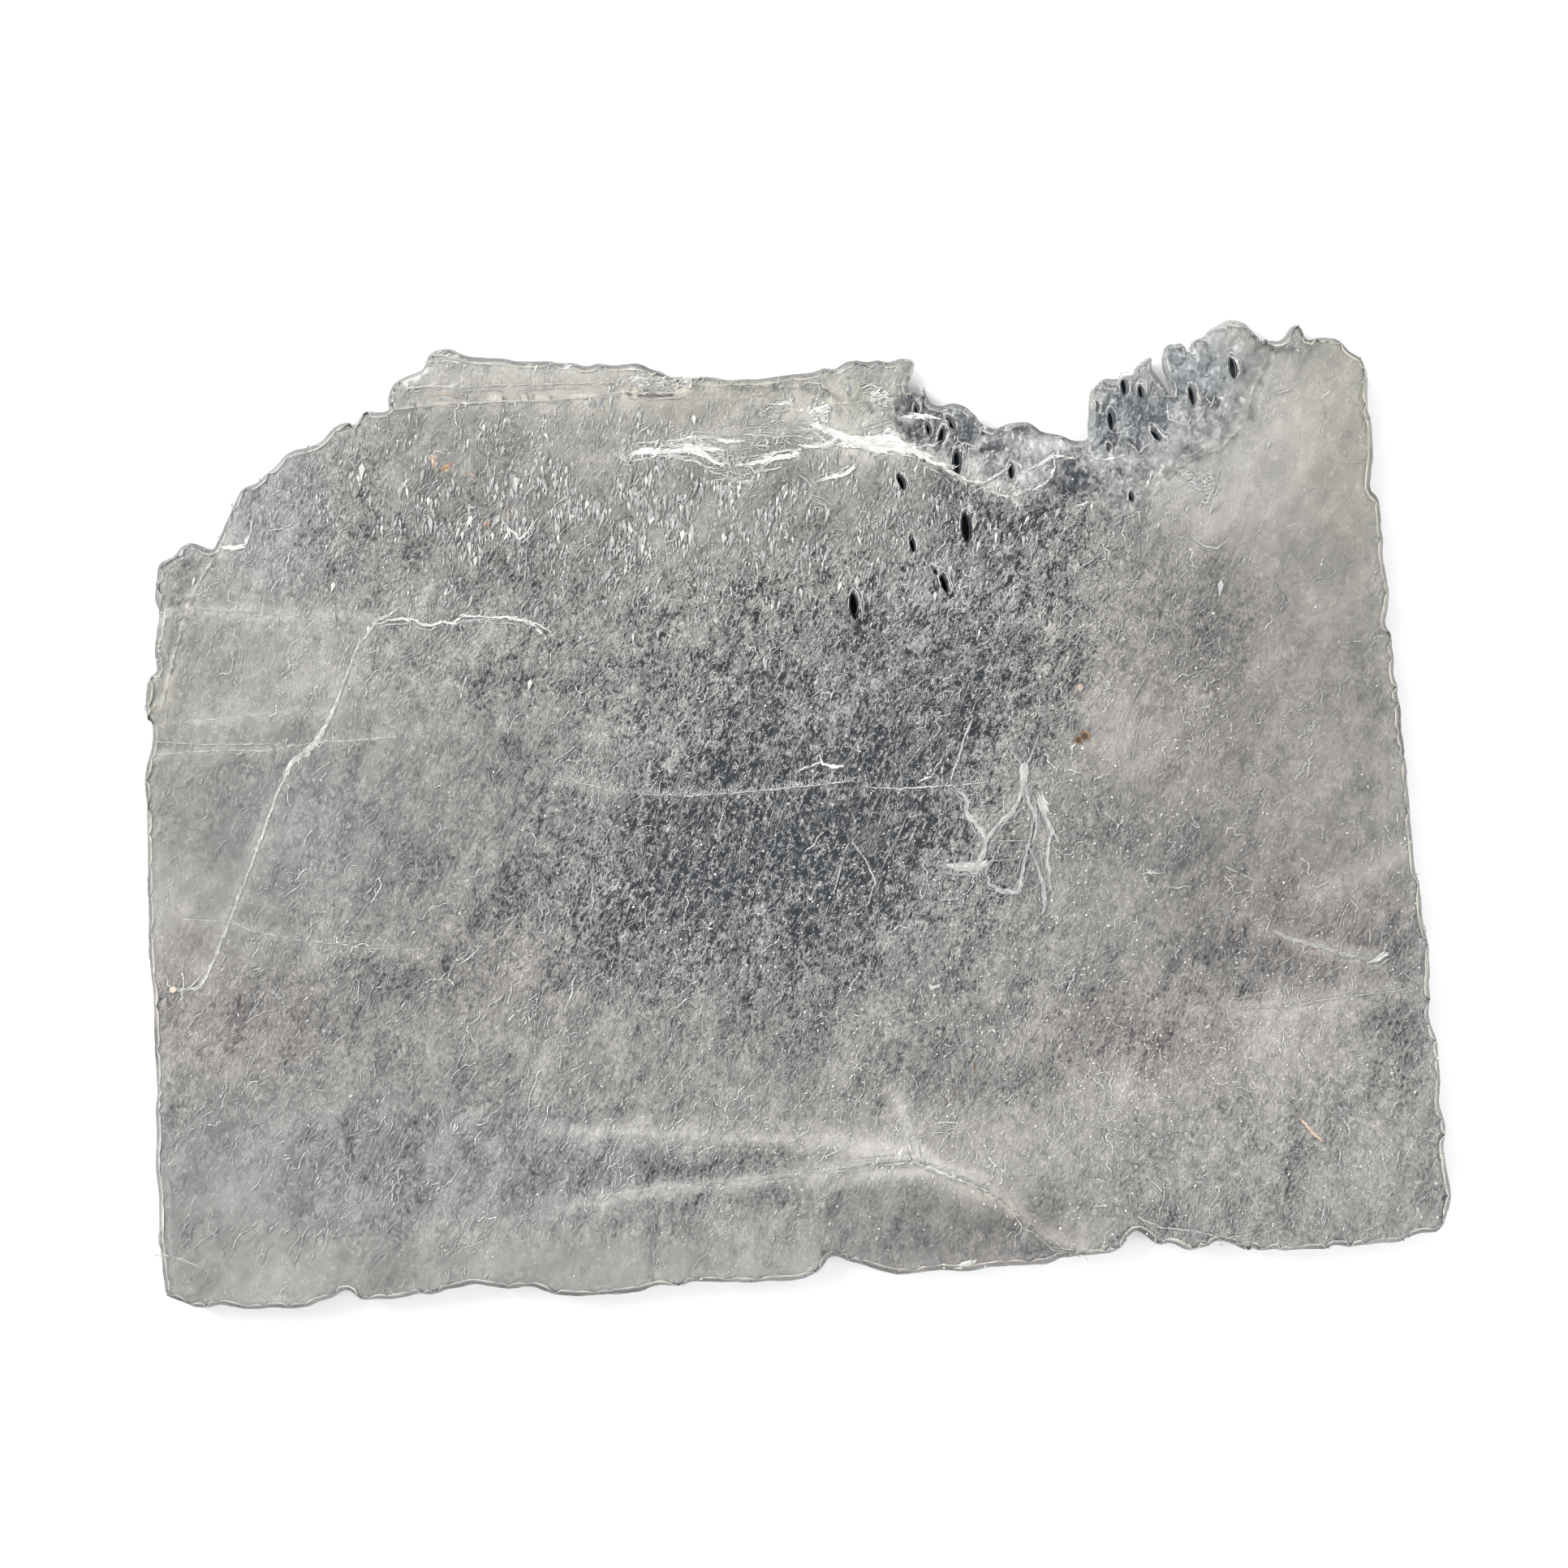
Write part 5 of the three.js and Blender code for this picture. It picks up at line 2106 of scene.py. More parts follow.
RIGHT_CRACKS = (
    Trace((1557, 1143, 2, 1575, 1150, 4, 1590, 1157, 5, 1608, 1161, 6, 1625, 1165, 6, 1645, 1172, 5,
           1660, 1177, 5, 1680, 1181, 4, 1695, 1180, 4), 0.5, 0.6, 0.1, -15, 8),
    Trace((1686, 1186, 3, 1698, 1180, 8, 1706, 1176, 5), 0.3, 0.8, 0.4, 45, 7),
    Trace((1715, 1190, 1.5, 1735, 1203, 2, 1752, 1215, 1), 0.5, 0.6, 0.1),
    Trace((1518, 1243, 1.5, 1560, 1241, 2, 1600, 1238, 2, 1640, 1230, 2, 1690, 1224, 2, 1738, 1219, 1.5),
           0.4, 0.72, 0.08, 5, 7),
    Trace((1535, 1226, 2, 1580, 1219, 3, 1620, 1216, 2), 1.0, 0.5, 0.1, 5, 7),
    Trace((1650, 1140, 1.5, 1656, 1122, 2, 1664, 1110, 2, 1672, 1118, 2, 1668, 1136, 1.5), 0.4, 0.7, 0),
    Trace((1700, 1164, 1.5, 1702, 1152, 2, 1708, 1150, 1), 0.4, 0.7, 0),
    Trace((1404, 1077, 1.5, 1414, 1075, 2.5, 1430, 1076, 1.5), 0.3, 0.95, 0.1, 5, 6),
    Trace((1436, 1092, 1, 1450, 1094, 2, 1462, 1092, 1), 0.3, 0.85, 0),
    Trace((1508, 1066, 1.5, 1522, 1074, 2, 1534, 1080, 2, 1546, 1086, 1), 0.4, 0.7, 0),
    Trace((1380, 900, 1, 1396, 862, 2, 1408, 840, 1), 0.4, 0.66, 0),
    Trace((1394, 940, 1, 1400, 905, 2, 1412, 870, 1), 0.4, 0.66, 0),
    Trace((1475, 618, 1, 1486, 620, 6, 1492, 608, 2.5, 1498, 594, 2, 1501, 580, 1.5), 0.3, 0.72, 0),
    Trace((1450, 662, 1, 1471, 663, 2, 1484, 674, 3, 1499, 676, 3, 1510, 668, 2, 1514, 661, 1), 0.3, 0.72,
           0.1),
    Trace((1566, 488, 1, 1578, 484, 3, 1590, 480, 1.5), 0.3, 0.7, 0),
    Trace((1330, 700, 1.5, 1345, 690, 3, 1362, 676, 2), 0.4, 0.6, 0.2, 40, 6),
    Trace((1300, 780, 1, 1318, 772, 2, 1330, 762, 1), 0.4, 0.62, 0.1, 40, 6),
)
WHITE_BAND = (
    Trace((758, 572, 2, 764, 562, 3, 770, 568, 3, 776, 574, 2), 0.4, 0.7, 0.3, 60, 6),
    Trace((778, 563, 3, 786, 558, 8, 800, 556, 9, 808, 558, 7, 812, 552, 2), 0.3, 0.92, 0.1, 10, 8),
    Trace((810, 557, 4, 830, 556, 7, 845, 555, 8, 860, 557, 8, 872, 563, 5, 880, 570, 4, 892, 572, 3), 0.3,
           0.93, 0.15, 5, 8),
    Trace((816, 550, 2, 836, 549, 4, 850, 550, 7, 862, 550, 7, 875, 554, 6, 890, 555, 2), 0.35, 0.9, 0.15,
           0, 8),
    Trace((820, 545, 1.5, 840, 543, 4, 848, 540, 4, 856, 538, 3, 872, 539, 2), 0.35, 0.85, 0.2, 10, 8),
    Trace((855, 538, 2, 880, 540, 3, 890, 543, 6, 905, 545, 4, 918, 543, 2), 0.35, 0.82, 0.15, 0, 8),
    Trace((857, 538, 2, 859, 552, 3), 0.3, 0.8, 0),
    Trace((880, 566, 1.5, 888, 563, 2, 898, 568, 2, 892, 574, 2.5, 884, 572, 2), 0.35, 0.82, 0),
    Trace((896, 556, 2, 897, 570, 2, 902, 580, 1.5), 0.35, 0.75, 0.2, 0, 6),
    Trace((904, 574, 2, 925, 572, 5, 940, 568, 7, 955, 565, 6, 970, 563, 6, 981, 560, 5), 0.3, 0.92, 0.15,
           12, 9),
    Trace((924, 574, 2, 930, 584, 2, 938, 578, 3, 946, 571, 3), 0.35, 0.8, 0),
    Trace((981, 560, 2, 986, 556, 2, 982, 567, 1.5), 0.35, 0.75, 0),
    Trace((876, 592, 1, 900, 589, 2, 910, 594, 3, 925, 594, 4, 928, 588, 2), 0.4, 0.75, 0.2, 5, 7),
    Trace((876, 584, 1, 900, 582, 1.5, 915, 585, 1), 0.4, 0.68, 0.1, 0, 7),
    Trace((918, 528, 1, 945, 526, 2.5, 950, 524, 1), 0.4, 0.7, 0.1, 0, 8),
    Trace((944, 523, 1, 954, 519, 2.5, 966, 519, 1), 0.4, 0.72, 0.1, 0, 8),
    Trace((918, 536, 1.5, 940, 537, 3, 955, 539, 3, 972, 537, 1), 0.4, 0.78, 0.15, 0, 9),
    Trace((976, 521, 1, 1000, 522, 2, 1012, 520, 1), 0.4, 0.72, 0.2, 0, 9),
    Trace((972, 530, 1, 990, 531, 1.5, 1008, 529, 1), 0.4, 0.66, 0.2, 0, 9),
    Trace((980, 537, 1.5, 995, 540, 2.5, 1012, 538, 2), 0.4, 0.7, 0.2, 0, 9),
    Trace((986, 548, 2, 1000, 551, 5, 1020, 549, 7, 1028, 541, 6), 0.35, 0.82, 0.2, 10, 8),
    Trace((956, 548, 3, 958, 541, 2, 964, 536, 2), 0.35, 0.75, 0.2, 0, 6),
    Trace((920, 552, 1, 938, 549, 2, 950, 551, 1), 0.4, 0.7, 0.2, 0, 8),
    Trace((952, 499, 3, 962, 497, 6, 972, 498, 6, 974, 488, 2), 0.35, 0.74, 0.1, 0, 7),
    Trace((932, 512, 1, 948, 502, 2, 960, 503, 1), 0.35, 0.66, 0.1, 30, 7),
    Trace((920, 497, 1, 940, 506, 2, 948, 516, 1), 0.35, 0.62, 0.1, -40, 7),
    Trace((1000, 524, 6, 1012, 527, 9, 1026, 533, 9, 1042, 540, 10, 1060, 545, 13, 1080, 546, 18,
           1100, 548, 18, 1118, 552, 12, 1136, 560, 9, 1152, 570, 8, 1170, 580, 5, 1184, 590, 3), 0.3, 0.84,
           0.3, -10, 10),
    Trace((1030, 548, 5, 1050, 549, 6, 1074, 554, 6, 1098, 560, 3), 0.35, 0.8, 0.2, 0, 9),
    Trace((1085, 536, 2, 1094, 530, 6, 1108, 538, 6), 0.35, 0.78, 0.2, 0, 9),
    Trace((1060, 532, 1, 1080, 524, 3, 1092, 521, 1), 0.35, 0.7, 0.1, 10, 9),
    Trace((1022, 532, 3, 1020, 520, 2, 1019, 500, 2), 0.3, 0.75, 0),
    Trace((1004, 562, 2, 1001, 572, 1.5, 1003, 580, 1), 0.4, 0.7, 0),
    Trace((1011, 593, 2, 1025, 588, 5, 1040, 585, 5, 1050, 579, 5, 1054, 573, 2), 0.3, 0.88, 0.05),
    Trace((1002, 618, 1, 1014, 622, 2, 1022, 630, 1), 0.4, 0.7, 0.1),
    Trace((980, 584, 1, 992, 590, 2, 1000, 598, 1), 0.4, 0.62, 0.1, -40, 6),
    Trace((1062, 478, 2, 1072, 474, 4, 1084, 477, 2), 0.3, 0.76, 0),
    Trace((1078, 503, 2, 1072, 508, 3, 1068, 512, 1), 0.3, 0.74, 0),
)
FAR_LEDGE_LINES = (
    Trace((764, 481, 2, 776, 483, 4, 800, 485, 5, 830, 483, 4, 850, 481, 4, 852, 470, 2), 0.3, 0.72, 0.05,
           5, 6, 0.12),
    Trace((474, 506, 1.5, 500, 502, 2, 536, 499, 2, 570, 497, 2.5, 638, 494, 2, 684, 494, 2, 730, 489, 2,
           764, 484, 2), 0.3, 0.68, 0.05, 5, 6, 0.08),
    Trace((567, 476, 1.5, 640, 473, 2, 700, 472, 2, 753, 471, 1.5), 0.3, 0.62, 0.05, 3, 6, 0.1),
    Trace((524, 438, 1, 545, 437, 2, 562, 439, 1), 0.2, 0.74, 0.3, 2, 9),
    Trace((524, 446, 1, 548, 444, 1.5, 566, 447, 1), 0.2, 0.7, 0.3, 2, 9),
    Trace((500, 478, 2, 530, 474, 3, 560, 476, 2), 0.3, 0.72, 0.2, 2, 8, 0.1),
    Trace((980, 478, 1.5, 995, 470, 2, 1010, 472, 2, 1022, 480, 2), 0.3, 0.66, 0.05),
)
ETCHED_RIMS = (
    Trace((1106, 514, 2, 1116, 512, 6, 1130, 511, 8, 1144, 512, 6, 1156, 515, 2), 0.15, 0.85, 0.1),
    Trace((1180, 584, 2, 1190, 591, 3, 1200, 594, 3, 1212, 594, 3, 1224, 589, 3, 1234, 582, 3, 1242, 576, 2,
           1246, 568, 1.5), 0.15, 0.82, 0.1),
    Trace((1198, 608, 2, 1210, 601, 3, 1222, 606, 3, 1234, 611, 3, 1246, 612, 3, 1256, 608, 3,
           1260, 599, 2), 0.15, 0.84, 0.05),
    Trace((1262, 603, 2, 1274, 603, 3, 1286, 597, 3, 1294, 589, 3, 1299, 578, 3, 1300, 564, 2), 0.15, 0.82,
           0.05),
    Trace((1226, 590, 2, 1232, 600, 3, 1230, 610, 2), 0.15, 0.8, 0),
    Trace((1254, 590, 2, 1250, 602, 2, 1258, 607, 2), 0.15, 0.76, 0),
    Trace((1246, 568, 2, 1256, 572, 3, 1262, 582, 2), 0.15, 0.74, 0),
    Trace((1270, 578, 3, 1284, 570, 5, 1296, 562, 5, 1308, 562, 5, 1322, 564, 3), 0.15, 0.78, 0.1),
    Trace((1180, 553, 2, 1188, 545, 3, 1196, 548, 2), 0.15, 0.78, 0.1),
    Trace((1152, 546, 2, 1156, 530, 2, 1162, 520, 2), 0.15, 0.74, 0),
    Trace((1140, 545, 2, 1148, 549, 2, 1156, 545, 1.5), 0.15, 0.74, 0),
    Trace((1366, 528, 1, 1374, 533, 2, 1386, 531, 2, 1394, 524, 2), 0.1, 0.72, 0),
    Trace((1440, 500, 1, 1440, 514, 2, 1452, 519, 3, 1464, 522, 3, 1470, 510, 1), 0.1, 0.7, 0),
    Trace((1420, 520, 2, 1426, 526, 3, 1434, 536, 3, 1440, 542, 1), 0.1, 0.7, 0),
    Trace((1466, 462, 1, 1476, 474, 3, 1480, 488, 3, 1476, 498, 1), 0.1, 0.68, 0),
    Trace((1514, 434, 1, 1524, 440, 3, 1530, 454, 3, 1526, 464, 1), 0.1, 0.7, 0),
    Trace((1392, 545, 1, 1404, 556, 3, 1414, 548, 2), 0.1, 0.7, 0.1),
    Trace((1340, 560, 2, 1362, 566, 3, 1384, 560, 2), 0.15, 0.72, 0.2, 0, 8),
    Trace((1320, 625, 1, 1332, 622, 3, 1346, 616, 1), 0.2, 0.72, 0.1, 20, 8),
    Trace((1498, 486, 1, 1494, 498, 3, 1490, 492, 2), 0.1, 0.7, 0),
    Trace((1360, 470, 1, 1362, 476, 2, 1370, 478, 2), 0.1, 0.7, 0),
    Trace((1400, 476, 1, 1404, 470, 2, 1410, 474, 2, 1414, 484, 1.5), 0.1, 0.72, 0),
)
TORN_PATCHES = (
    Patch((978, 507, 985, 502, 998, 503, 1004, 498, 1018, 496, 1020, 500, 1019, 520, 1005, 522, 1000, 512,
           988, 507), 0.3, 0.82),
    Patch((1074, 481, 1095, 481, 1098, 489, 1092, 503, 1078, 503, 1072, 494), 0.3, 0.8),
    Patch((772, 464, 790, 461, 812, 463, 826, 468, 849, 463, 851, 481, 800, 483, 778, 481), 0.4, 0.62,
           0.08),
    Patch((1212, 601, 1222, 596, 1230, 602, 1228, 609, 1222, 607), 0.2, 0.62),
    Patch((1238, 600, 1250, 594, 1257, 604, 1250, 611, 1240, 611), 0.2, 0.6),
    Patch((1448, 578, 1486, 580, 1499, 590, 1488, 612, 1460, 596), 0.5, 0.5),
)
IRON_MARKS = (
    Trace((1200, 1310, 2, 1201, 1320, 2), 0.2, 0.12, 0, 0, 0, 0.9),
    Trace((1175, 1340, 2, 1177, 1345, 2), 0.2, 0.15, 0, 0, 0, 0.9),
    Trace((1162, 1350, 2, 1165, 1359, 2), 0.2, 0.15, 0, 0, 0, 0.9),
    Trace((1603, 1380, 1.5, 1608, 1386, 2), 0.2, 0.2, 0, 0, 0, 0.95),
    Trace((533, 562, 3, 536, 568, 6, 535, 575, 3), 0.5, 0.55, 0, 0, 0, 0.75),
    Trace((545, 578, 3, 551, 576, 7, 556, 572, 3), 0.5, 0.5, 0, 0, 0, 0.8),
    Trace((596, 648, 2, 600, 644, 5, 603, 652, 2), 0.5, 0.5, 0, 0, 0, 0.8),
    Trace((624, 624, 2, 627, 629, 3, 628, 636, 1.5), 0.5, 0.55, 0, 0, 0, 0.7),
    Trace((575, 586, 2, 580, 584, 4, 586, 588, 2), 0.6, 0.5, 0, 0, 0, 0.5),
    Trace((530, 488, 2, 546, 484, 4, 562, 488, 2), 0.6, 0.55, 0, 0, 0, 0.45),
    Trace((1603, 1380, 3, 1612, 1390, 6, 1619, 1397, 5, 1628, 1405, 3), 0.2, 0.66, 0, 0, 0, 0.5),
    Trace((1258, 1082, 1, 1259, 1086, 2.5, 1261, 1090, 1), 0.1, 0.6, 0, 0, 0, 0.6),
    Trace((210, 1217, 2, 214, 1219, 4, 218, 1218, 2), 0.3, 0.62, 0, 0, 0, 0.5),
    Trace((1696, 1172, 2, 1702, 1180, 4, 1706, 1186, 2), 0.8, 0.4, 0, 0, 0, 0.45),
)


def bolder(traces: Sequence[Trace], widths: float, tone: float, echoes: int) -> tuple[Trace, ...]:
    """The same cracks some times wider and lighter, with echoes."""
    return tuple(
        trace.changed(trace.rows() * (1, 1, widths), tone=min(1.0, tone * trace.tone), echoes=echoes)
        for trace in traces
    )


def pit_halos(pit: Pit) -> tuple[Trace, ...]:
    """The thin pale edges that stand nested round a pit's mouth.

    Args:
        pit: The pit.

    Returns:
        Traces along the upper and right sides of the mouth.
    """
    halos = []
    for size, tone in ((1.2, 0.7), (1.5, 0.55)):
        loop = turned(kite(pit.length * size + 3, pit.width * size + 4), pit.lean) * (1, -1)
        spots = loop + np.array(pit.at) + np.array((0.12, -0.1)) * pit.width * (size - 1) * 4
        count = len(spots)
        run = np.take(spots, range(-count // 8, count // 2 + count // 8), axis=0, mode="wrap")
        halo = Trace((), depth=0.15, tone=tone, frays=0.0, gaps=0.3)
        halos.append(halo.changed(np.column_stack([run, np.full(len(run), 1.6)])))
    return tuple(halos)


RUST_DOTS = (
    Dot((1328, 912), 5.2, 0.2, 0.26, 1.0), Dot((1336, 907), 5.8, 0.2, 0.26, 1.0),
    Dot((1328, 912), 4.0, 0.1, 0.0, 0.9), Dot((1336, 907), 4.7, 0.1, 0.0, 0.9),
    Dot((1330, 847), 4.5, 0.5, 0.42, 0.4), Dot((214, 1219), 4.0, 0.3, 0.66, 0.45),
    Dot((551, 577), 5.0, 0.7, 0.5, 0.6), Dot((535, 565), 4.5, 0.7, 0.52, 0.5),
)


@dataclass
class Fractures:
    """Turns plotted traces and patches into closed splinters that lie in the crystal.

    Attributes:
        pitch: The spacing of the places where a crack's splinters may lie, in grid steps.
        wobble: How far a crack strays from its plotted path, in grid steps.
        long: How long a crack's splinter is, at least and at most, in grid steps.
        plump: How wide it is at least and at most, as a share of the crack's width.
        wide: Its least and greatest width, in grid steps.
        spacing: How far apart a narrow crack's splinters lie, in grid steps.
        echo_stray: How far an echo and its corners stray from the crack, in grid steps.
        echo_width: An echo's width against the crack's.
        echo_tone: Its lightness against the crack's.
        echo_gaps: How much of it is missing, from 0 to 1.
        plate_share: How many square grid steps of a plate one splinter fills.
        plate_long, plate_wide: That splinter's least and greatest length and width, in grid steps.
    """

    shape: SlabShape
    pitch: float = 1.5
    wobble: float = 0.9
    long: Pair = (4, 9)
    plump: Pair = (0.25, 0.6)
    wide: Pair = (0.8, 5.0)
    spacing: float = 2.4
    echo_stray: Pair = (5.0, 1.5)
    echo_width: float = 0.4
    echo_tone: float = 0.74
    echo_gaps: float = 0.42
    plate_share: float = 7
    plate_long: Pair = (4, 11)
    plate_wide: Pair = (1.2, 3.4)

    def build(self, name: str, traces: Sequence[Trace], patches: Sequence[Patch | Dot], seed: int) -> Piece:
        """Builds one piece from many traces, plates and dots.

        Args:
            name: The piece's name.
            traces: The cracks.
            patches: The plates and dots.
            seed: The seed of their raggedness.

        Returns:
            The joined mesh.
        """
        rng = np.random.default_rng(seed)
        solids: list[Solid] = []
        for trace in traces:
            solids.append(self._strands(trace, rng))
            if trace.frays > 0:
                solids.append(self._frays(trace, rng))
            for _ in range(trace.echoes):
                solids.append(self._strands(self._echo(trace, rng), rng))
        for patch in patches:
            solids.append(self._lens(patch, rng) if isinstance(patch, Dot) else self._filling(patch, rng))
        return joined(name, solids)

    def _strands(self, trace: Trace, rng: Random) -> Solid:
        """A crack as many overlapping splinters that follow its path.

        Args:
            trace: The crack.
            rng: The source of the random draws.

        Returns:
            The splinters.
        """
        step = self.shape.grid.step
        path = trace.rows()
        line = subdivided(path[:, :2], self.pitch, False)
        reached = reached_along(line)
        widths = np.interp(reached, reached_along(path[:, :2]), path[:, 2])
        line = ragged(line, False, self.wobble, int(rng.integers(SEED_LIMIT)))
        side = normals_of(line, False, 2)
        count = max(3, int(reached[-1] / self.spacing * (0.8 + float(widths.mean()) / 2.6)))
        share = (0.4 + widths) * self._presence(reached, trace.gaps, rng)
        where = rng.choice(len(line), count, p=share / share.sum())
        wide = widths[where]
        thick = np.clip(wide * rng.uniform(*self.plump, count), *self.wide)
        across = side[where]
        shift = rng.uniform(-0.5, 0.5, count) * np.maximum(wide - thick, 0.7)
        spots = line[where] + across * shift[:, None]
        turn = rng.normal(0, 0.09 + 0.015 * wide, count)
        along = np.column_stack([across[:, 1], -across[:, 0]])
        way = along * np.cos(turn)[:, None] + across * np.sin(turn)[:, None]
        length = rng.uniform(*self.long, count) * (1 + wide / 7)
        return self.splinters(spots, way, length, thick, trace.depth, trace.tone, trace.warmth, rng)

    def _echo(self, trace: Trace, rng: Random) -> Trace:
        """A fainter, thinner copy of a trace that runs beside it.

        Args:
            trace: The crack.
            rng: The source of the random draws.

        Returns:
            The copy.
        """
        path = trace.rows()
        whole, corner = self.echo_stray
        path[:, :2] += rng.normal(0, whole, 2) + rng.normal(0, corner, (len(path), 2))
        path[:, 2] = np.clip(path[:, 2] * self.echo_width, 0.9, 3.0)
        tone = self.echo_tone * trace.tone
        return trace.changed(path, tone=tone, frays=0.0, gaps=self.echo_gaps, echoes=0)

    def _lens(self, dot: Dot, rng: Random) -> Solid:
        """A round speck as a flat lens.

        Args:
            dot: The speck.
            rng: The source of the random draws.

        Returns:
            The lens.
        """
        count = 14
        angle = np.arange(count) * 2 * np.pi / count
        loop = np.column_stack([np.cos(angle), np.sin(angle)]) * dot.radius
        places = self.shape.grid.places(loop * rng.uniform(0.85, 1.1, (count, 1)) + dot.at)
        middle = self.shape.grid.places(dot.at)
        height = float(self.shape.top(middle)[0]) - dot.depth * MM
        rim = np.column_stack([places, np.full(count, height)])
        bulge = 0.08 * MM
        tips = np.array([(*middle[0], height + bulge), (*middle[0], height - bulge)])
        faces = []
        for i, j in edges_along([(count, True)]):
            faces += [(j, i, count), (i, j, count + 1)]
        palette = np.tile((dot.tone, dot.warmth), (count + 2, 1))
        return Solid(np.vstack([rim, tips]), np.array(faces), palette)

    def _presence(self, reached: Points, gaps: float, rng: Random) -> Points:
        """Where along a path the crack shows.

        Args:
            reached: How far along the path each point lies, in grid steps.
            gaps: How much of the crack is missing, from 0 to 1.
            rng: The source of the random draws.

        Returns:
            A share from 0 to 1 for each point.
        """
        shift = rng.uniform(0, 6, 3)
        waves = sum(np.sin(reached / size + move) for size, move in zip((3.1, 7.3, 17.0), shift))
        return np.clip((waves / 3 + 1.1 - 2 * gaps) * 1.6, 0.02 + 0.3 * (gaps == 0), 1)

    def _frays(self, trace: Trace, rng: Random) -> Solid:
        """Fine slivers that stand out from a crack.

        Args:
            trace: The crack.
            rng: The source of the random draws.

        Returns:
            The slivers.
        """
        path = trace.rows()
        line = subdivided(path[:, :2], self.pitch, False)
        count = max(2, int(trace.frays * 1.5 * len(line)))
        where = rng.integers(0, len(line), count)
        way = headed(np.radians(trace.fray_way + rng.normal(0, 24, count)))
        length = trace.fray_long * rng.lognormal(-0.1, 0.4, count)
        width = float(path[:, 2].mean())
        spots = line[where] + way * length[:, None] / 2 + rng.normal(0, 0.3 * width, (count, 2))
        thick = rng.uniform(0.7, 1.5, count)
        return self.splinters(spots, way, length, thick, trace.depth, 0.85 * trace.tone, trace.warmth, rng)

    def _filling(self, patch: Patch, rng: Random) -> Solid:
        """A torn plate as splinters that fill its outline.

        Args:
            patch: The plate.
            rng: The source of the random draws.

        Returns:
            The splinters.
        """
        loop = rows_of(patch.outline)
        low, high = loop.min(0), loop.max(0)
        spots = rng.uniform(low, high, (int(np.prod(high - low) / self.plate_share) + 4, 2))
        spots = spots[inside(loop, spots)]
        count = len(spots)
        way = headed(np.radians(patch.way) + rng.normal(0, 0.45, count))
        length, thick = rng.uniform(*self.plate_long, count), rng.uniform(*self.plate_wide, count)
        return self.splinters(spots, way, length, thick, patch.depth, patch.tone, patch.warmth, rng)

    def splinters(
        self, spots: Points, way: Points, length: Points, thick: Points, depth: float,
        tone: float | Points, warmth: float, rng: Random,
    ) -> Solid:
        """Lays splinters in the crystal.

        Args:
            spots: Their middles on the plotting grid.
            way: The way that each runs on the plotting grid.
            length: Their lengths in grid steps.
            thick: Their widths in grid steps.
            depth: How far they lie under the crown, in millimetres.
            tone: Their lightness, from 0 to 1.
            warmth: How rusty they are, from 0 to 1.
            rng: The source of the random draws.

        Returns:
            The splinters as one solid.
        """
        ends = []
        count = len(spots)
        sunk = depth * MM + rng.uniform(0, 0.3, count) * MM
        for sign in (0.5, -0.5):
            places = self.shape.grid.places(spots + sign * way * length[:, None])
            top = self.shape.top(places)
            height = np.clip(top - sunk + rng.normal(0, 0.05, count) * MM, 0.3 * MM, top - 0.09 * MM)
            ends.append(np.column_stack([places, height]))
        tones = np.clip(tone * rng.uniform(0.62, 1.12, count), 0, 1)
        widths, fades = thick * self.shape.grid.step, tones * rng.uniform(0.6, 1, count)
        warmths = np.full(count, warmth)
        return Slivers(*ends, widths, tones, fades, warmths, seed=int(rng.integers(SEED_LIMIT))).solid()


@dataclass
class PitShadeLinings:
    """Painted shade: a dark slate skin inside each solution pit that stands for the shade in the hole."""

    shape: SlabShape
    skin: float = 0.14 * MM

    def build(self) -> Piece:
        """Builds one closed cup a pit, joined in one mesh.

        Returns:
            The linings.
        """
        corners, faces, count = [], [], 0
        for pit in PITS:
            rings = self._rings(pit)
            around = len(rings[0])
            levels = count + np.arange(len(rings) * around).reshape(len(rings), around)
            for below, above in zip(levels, levels[1:]):
                faces += band(below, above).tolist()
            faces += [levels[0, ::-1].tolist(), levels[-1].tolist()]
            corners += rings
            count += levels.size
        made = mesh_object("pit_shade_lining", np.vstack(corners), faces)
        # The slate value sets how pale each pit's painted shade is; 0 is black.
        written(made, "slate", np.repeat([pit.slate for pit in PITS], 4 * around))
        return made

    def _rings(self, pit: Pit) -> list[Points]:
        """The rings of one cup: the floor outside, up the wall, and down inside.

        Args:
            pit: The pit.

        Returns:
            Each ring as an array of (x, y, z).
        """
        step = self.shape.grid.step
        place = self.shape.grid.places(pit.at)[0]
        crown = float(self.shape.top(place[None, :])[0])
        deep = self.shape.pit_floor + 0.12 * MM
        high = deep + 0.62 * (crown - deep)
        rings = []
        for height, inset in ((deep, 0.0), (high, 0.0), (high, self.skin), (deep + 0.3 * MM, self.skin)):
            loop = kite(pit.length * step - 2 * inset - 0.12 * MM, pit.width * step - 2 * inset - 0.12 * MM)
            loop = turned(loop, pit.lean) + place
            rings.append(np.column_stack([loop, np.full(len(loop), height)]))
        return rings


# ---- Finishes ----


def fresh_material(name: str) -> tuple[Tree, bpy.types.Node]:
    """A new material.

    Args:
        name: The material's name.

    Returns:
        Its node tree and its Principled shader.
    """
    material = bpy.data.materials.new(name)
    material.use_nodes = True
    return material.node_tree, material.node_tree.nodes["Principled BSDF"]


def feed(node: bpy.types.Node, inputs: dict[str | int, object]) -> None:
    """Sets a node's inputs.

    Args:
        node: The node.
        inputs: A value or another node's socket for each input, by name or number.
    """
    for label, value in inputs.items():
        if isinstance(value, Socket):
            node.id_data.links.new(value, node.inputs[label])
        else:
            node.inputs[label].default_value = value


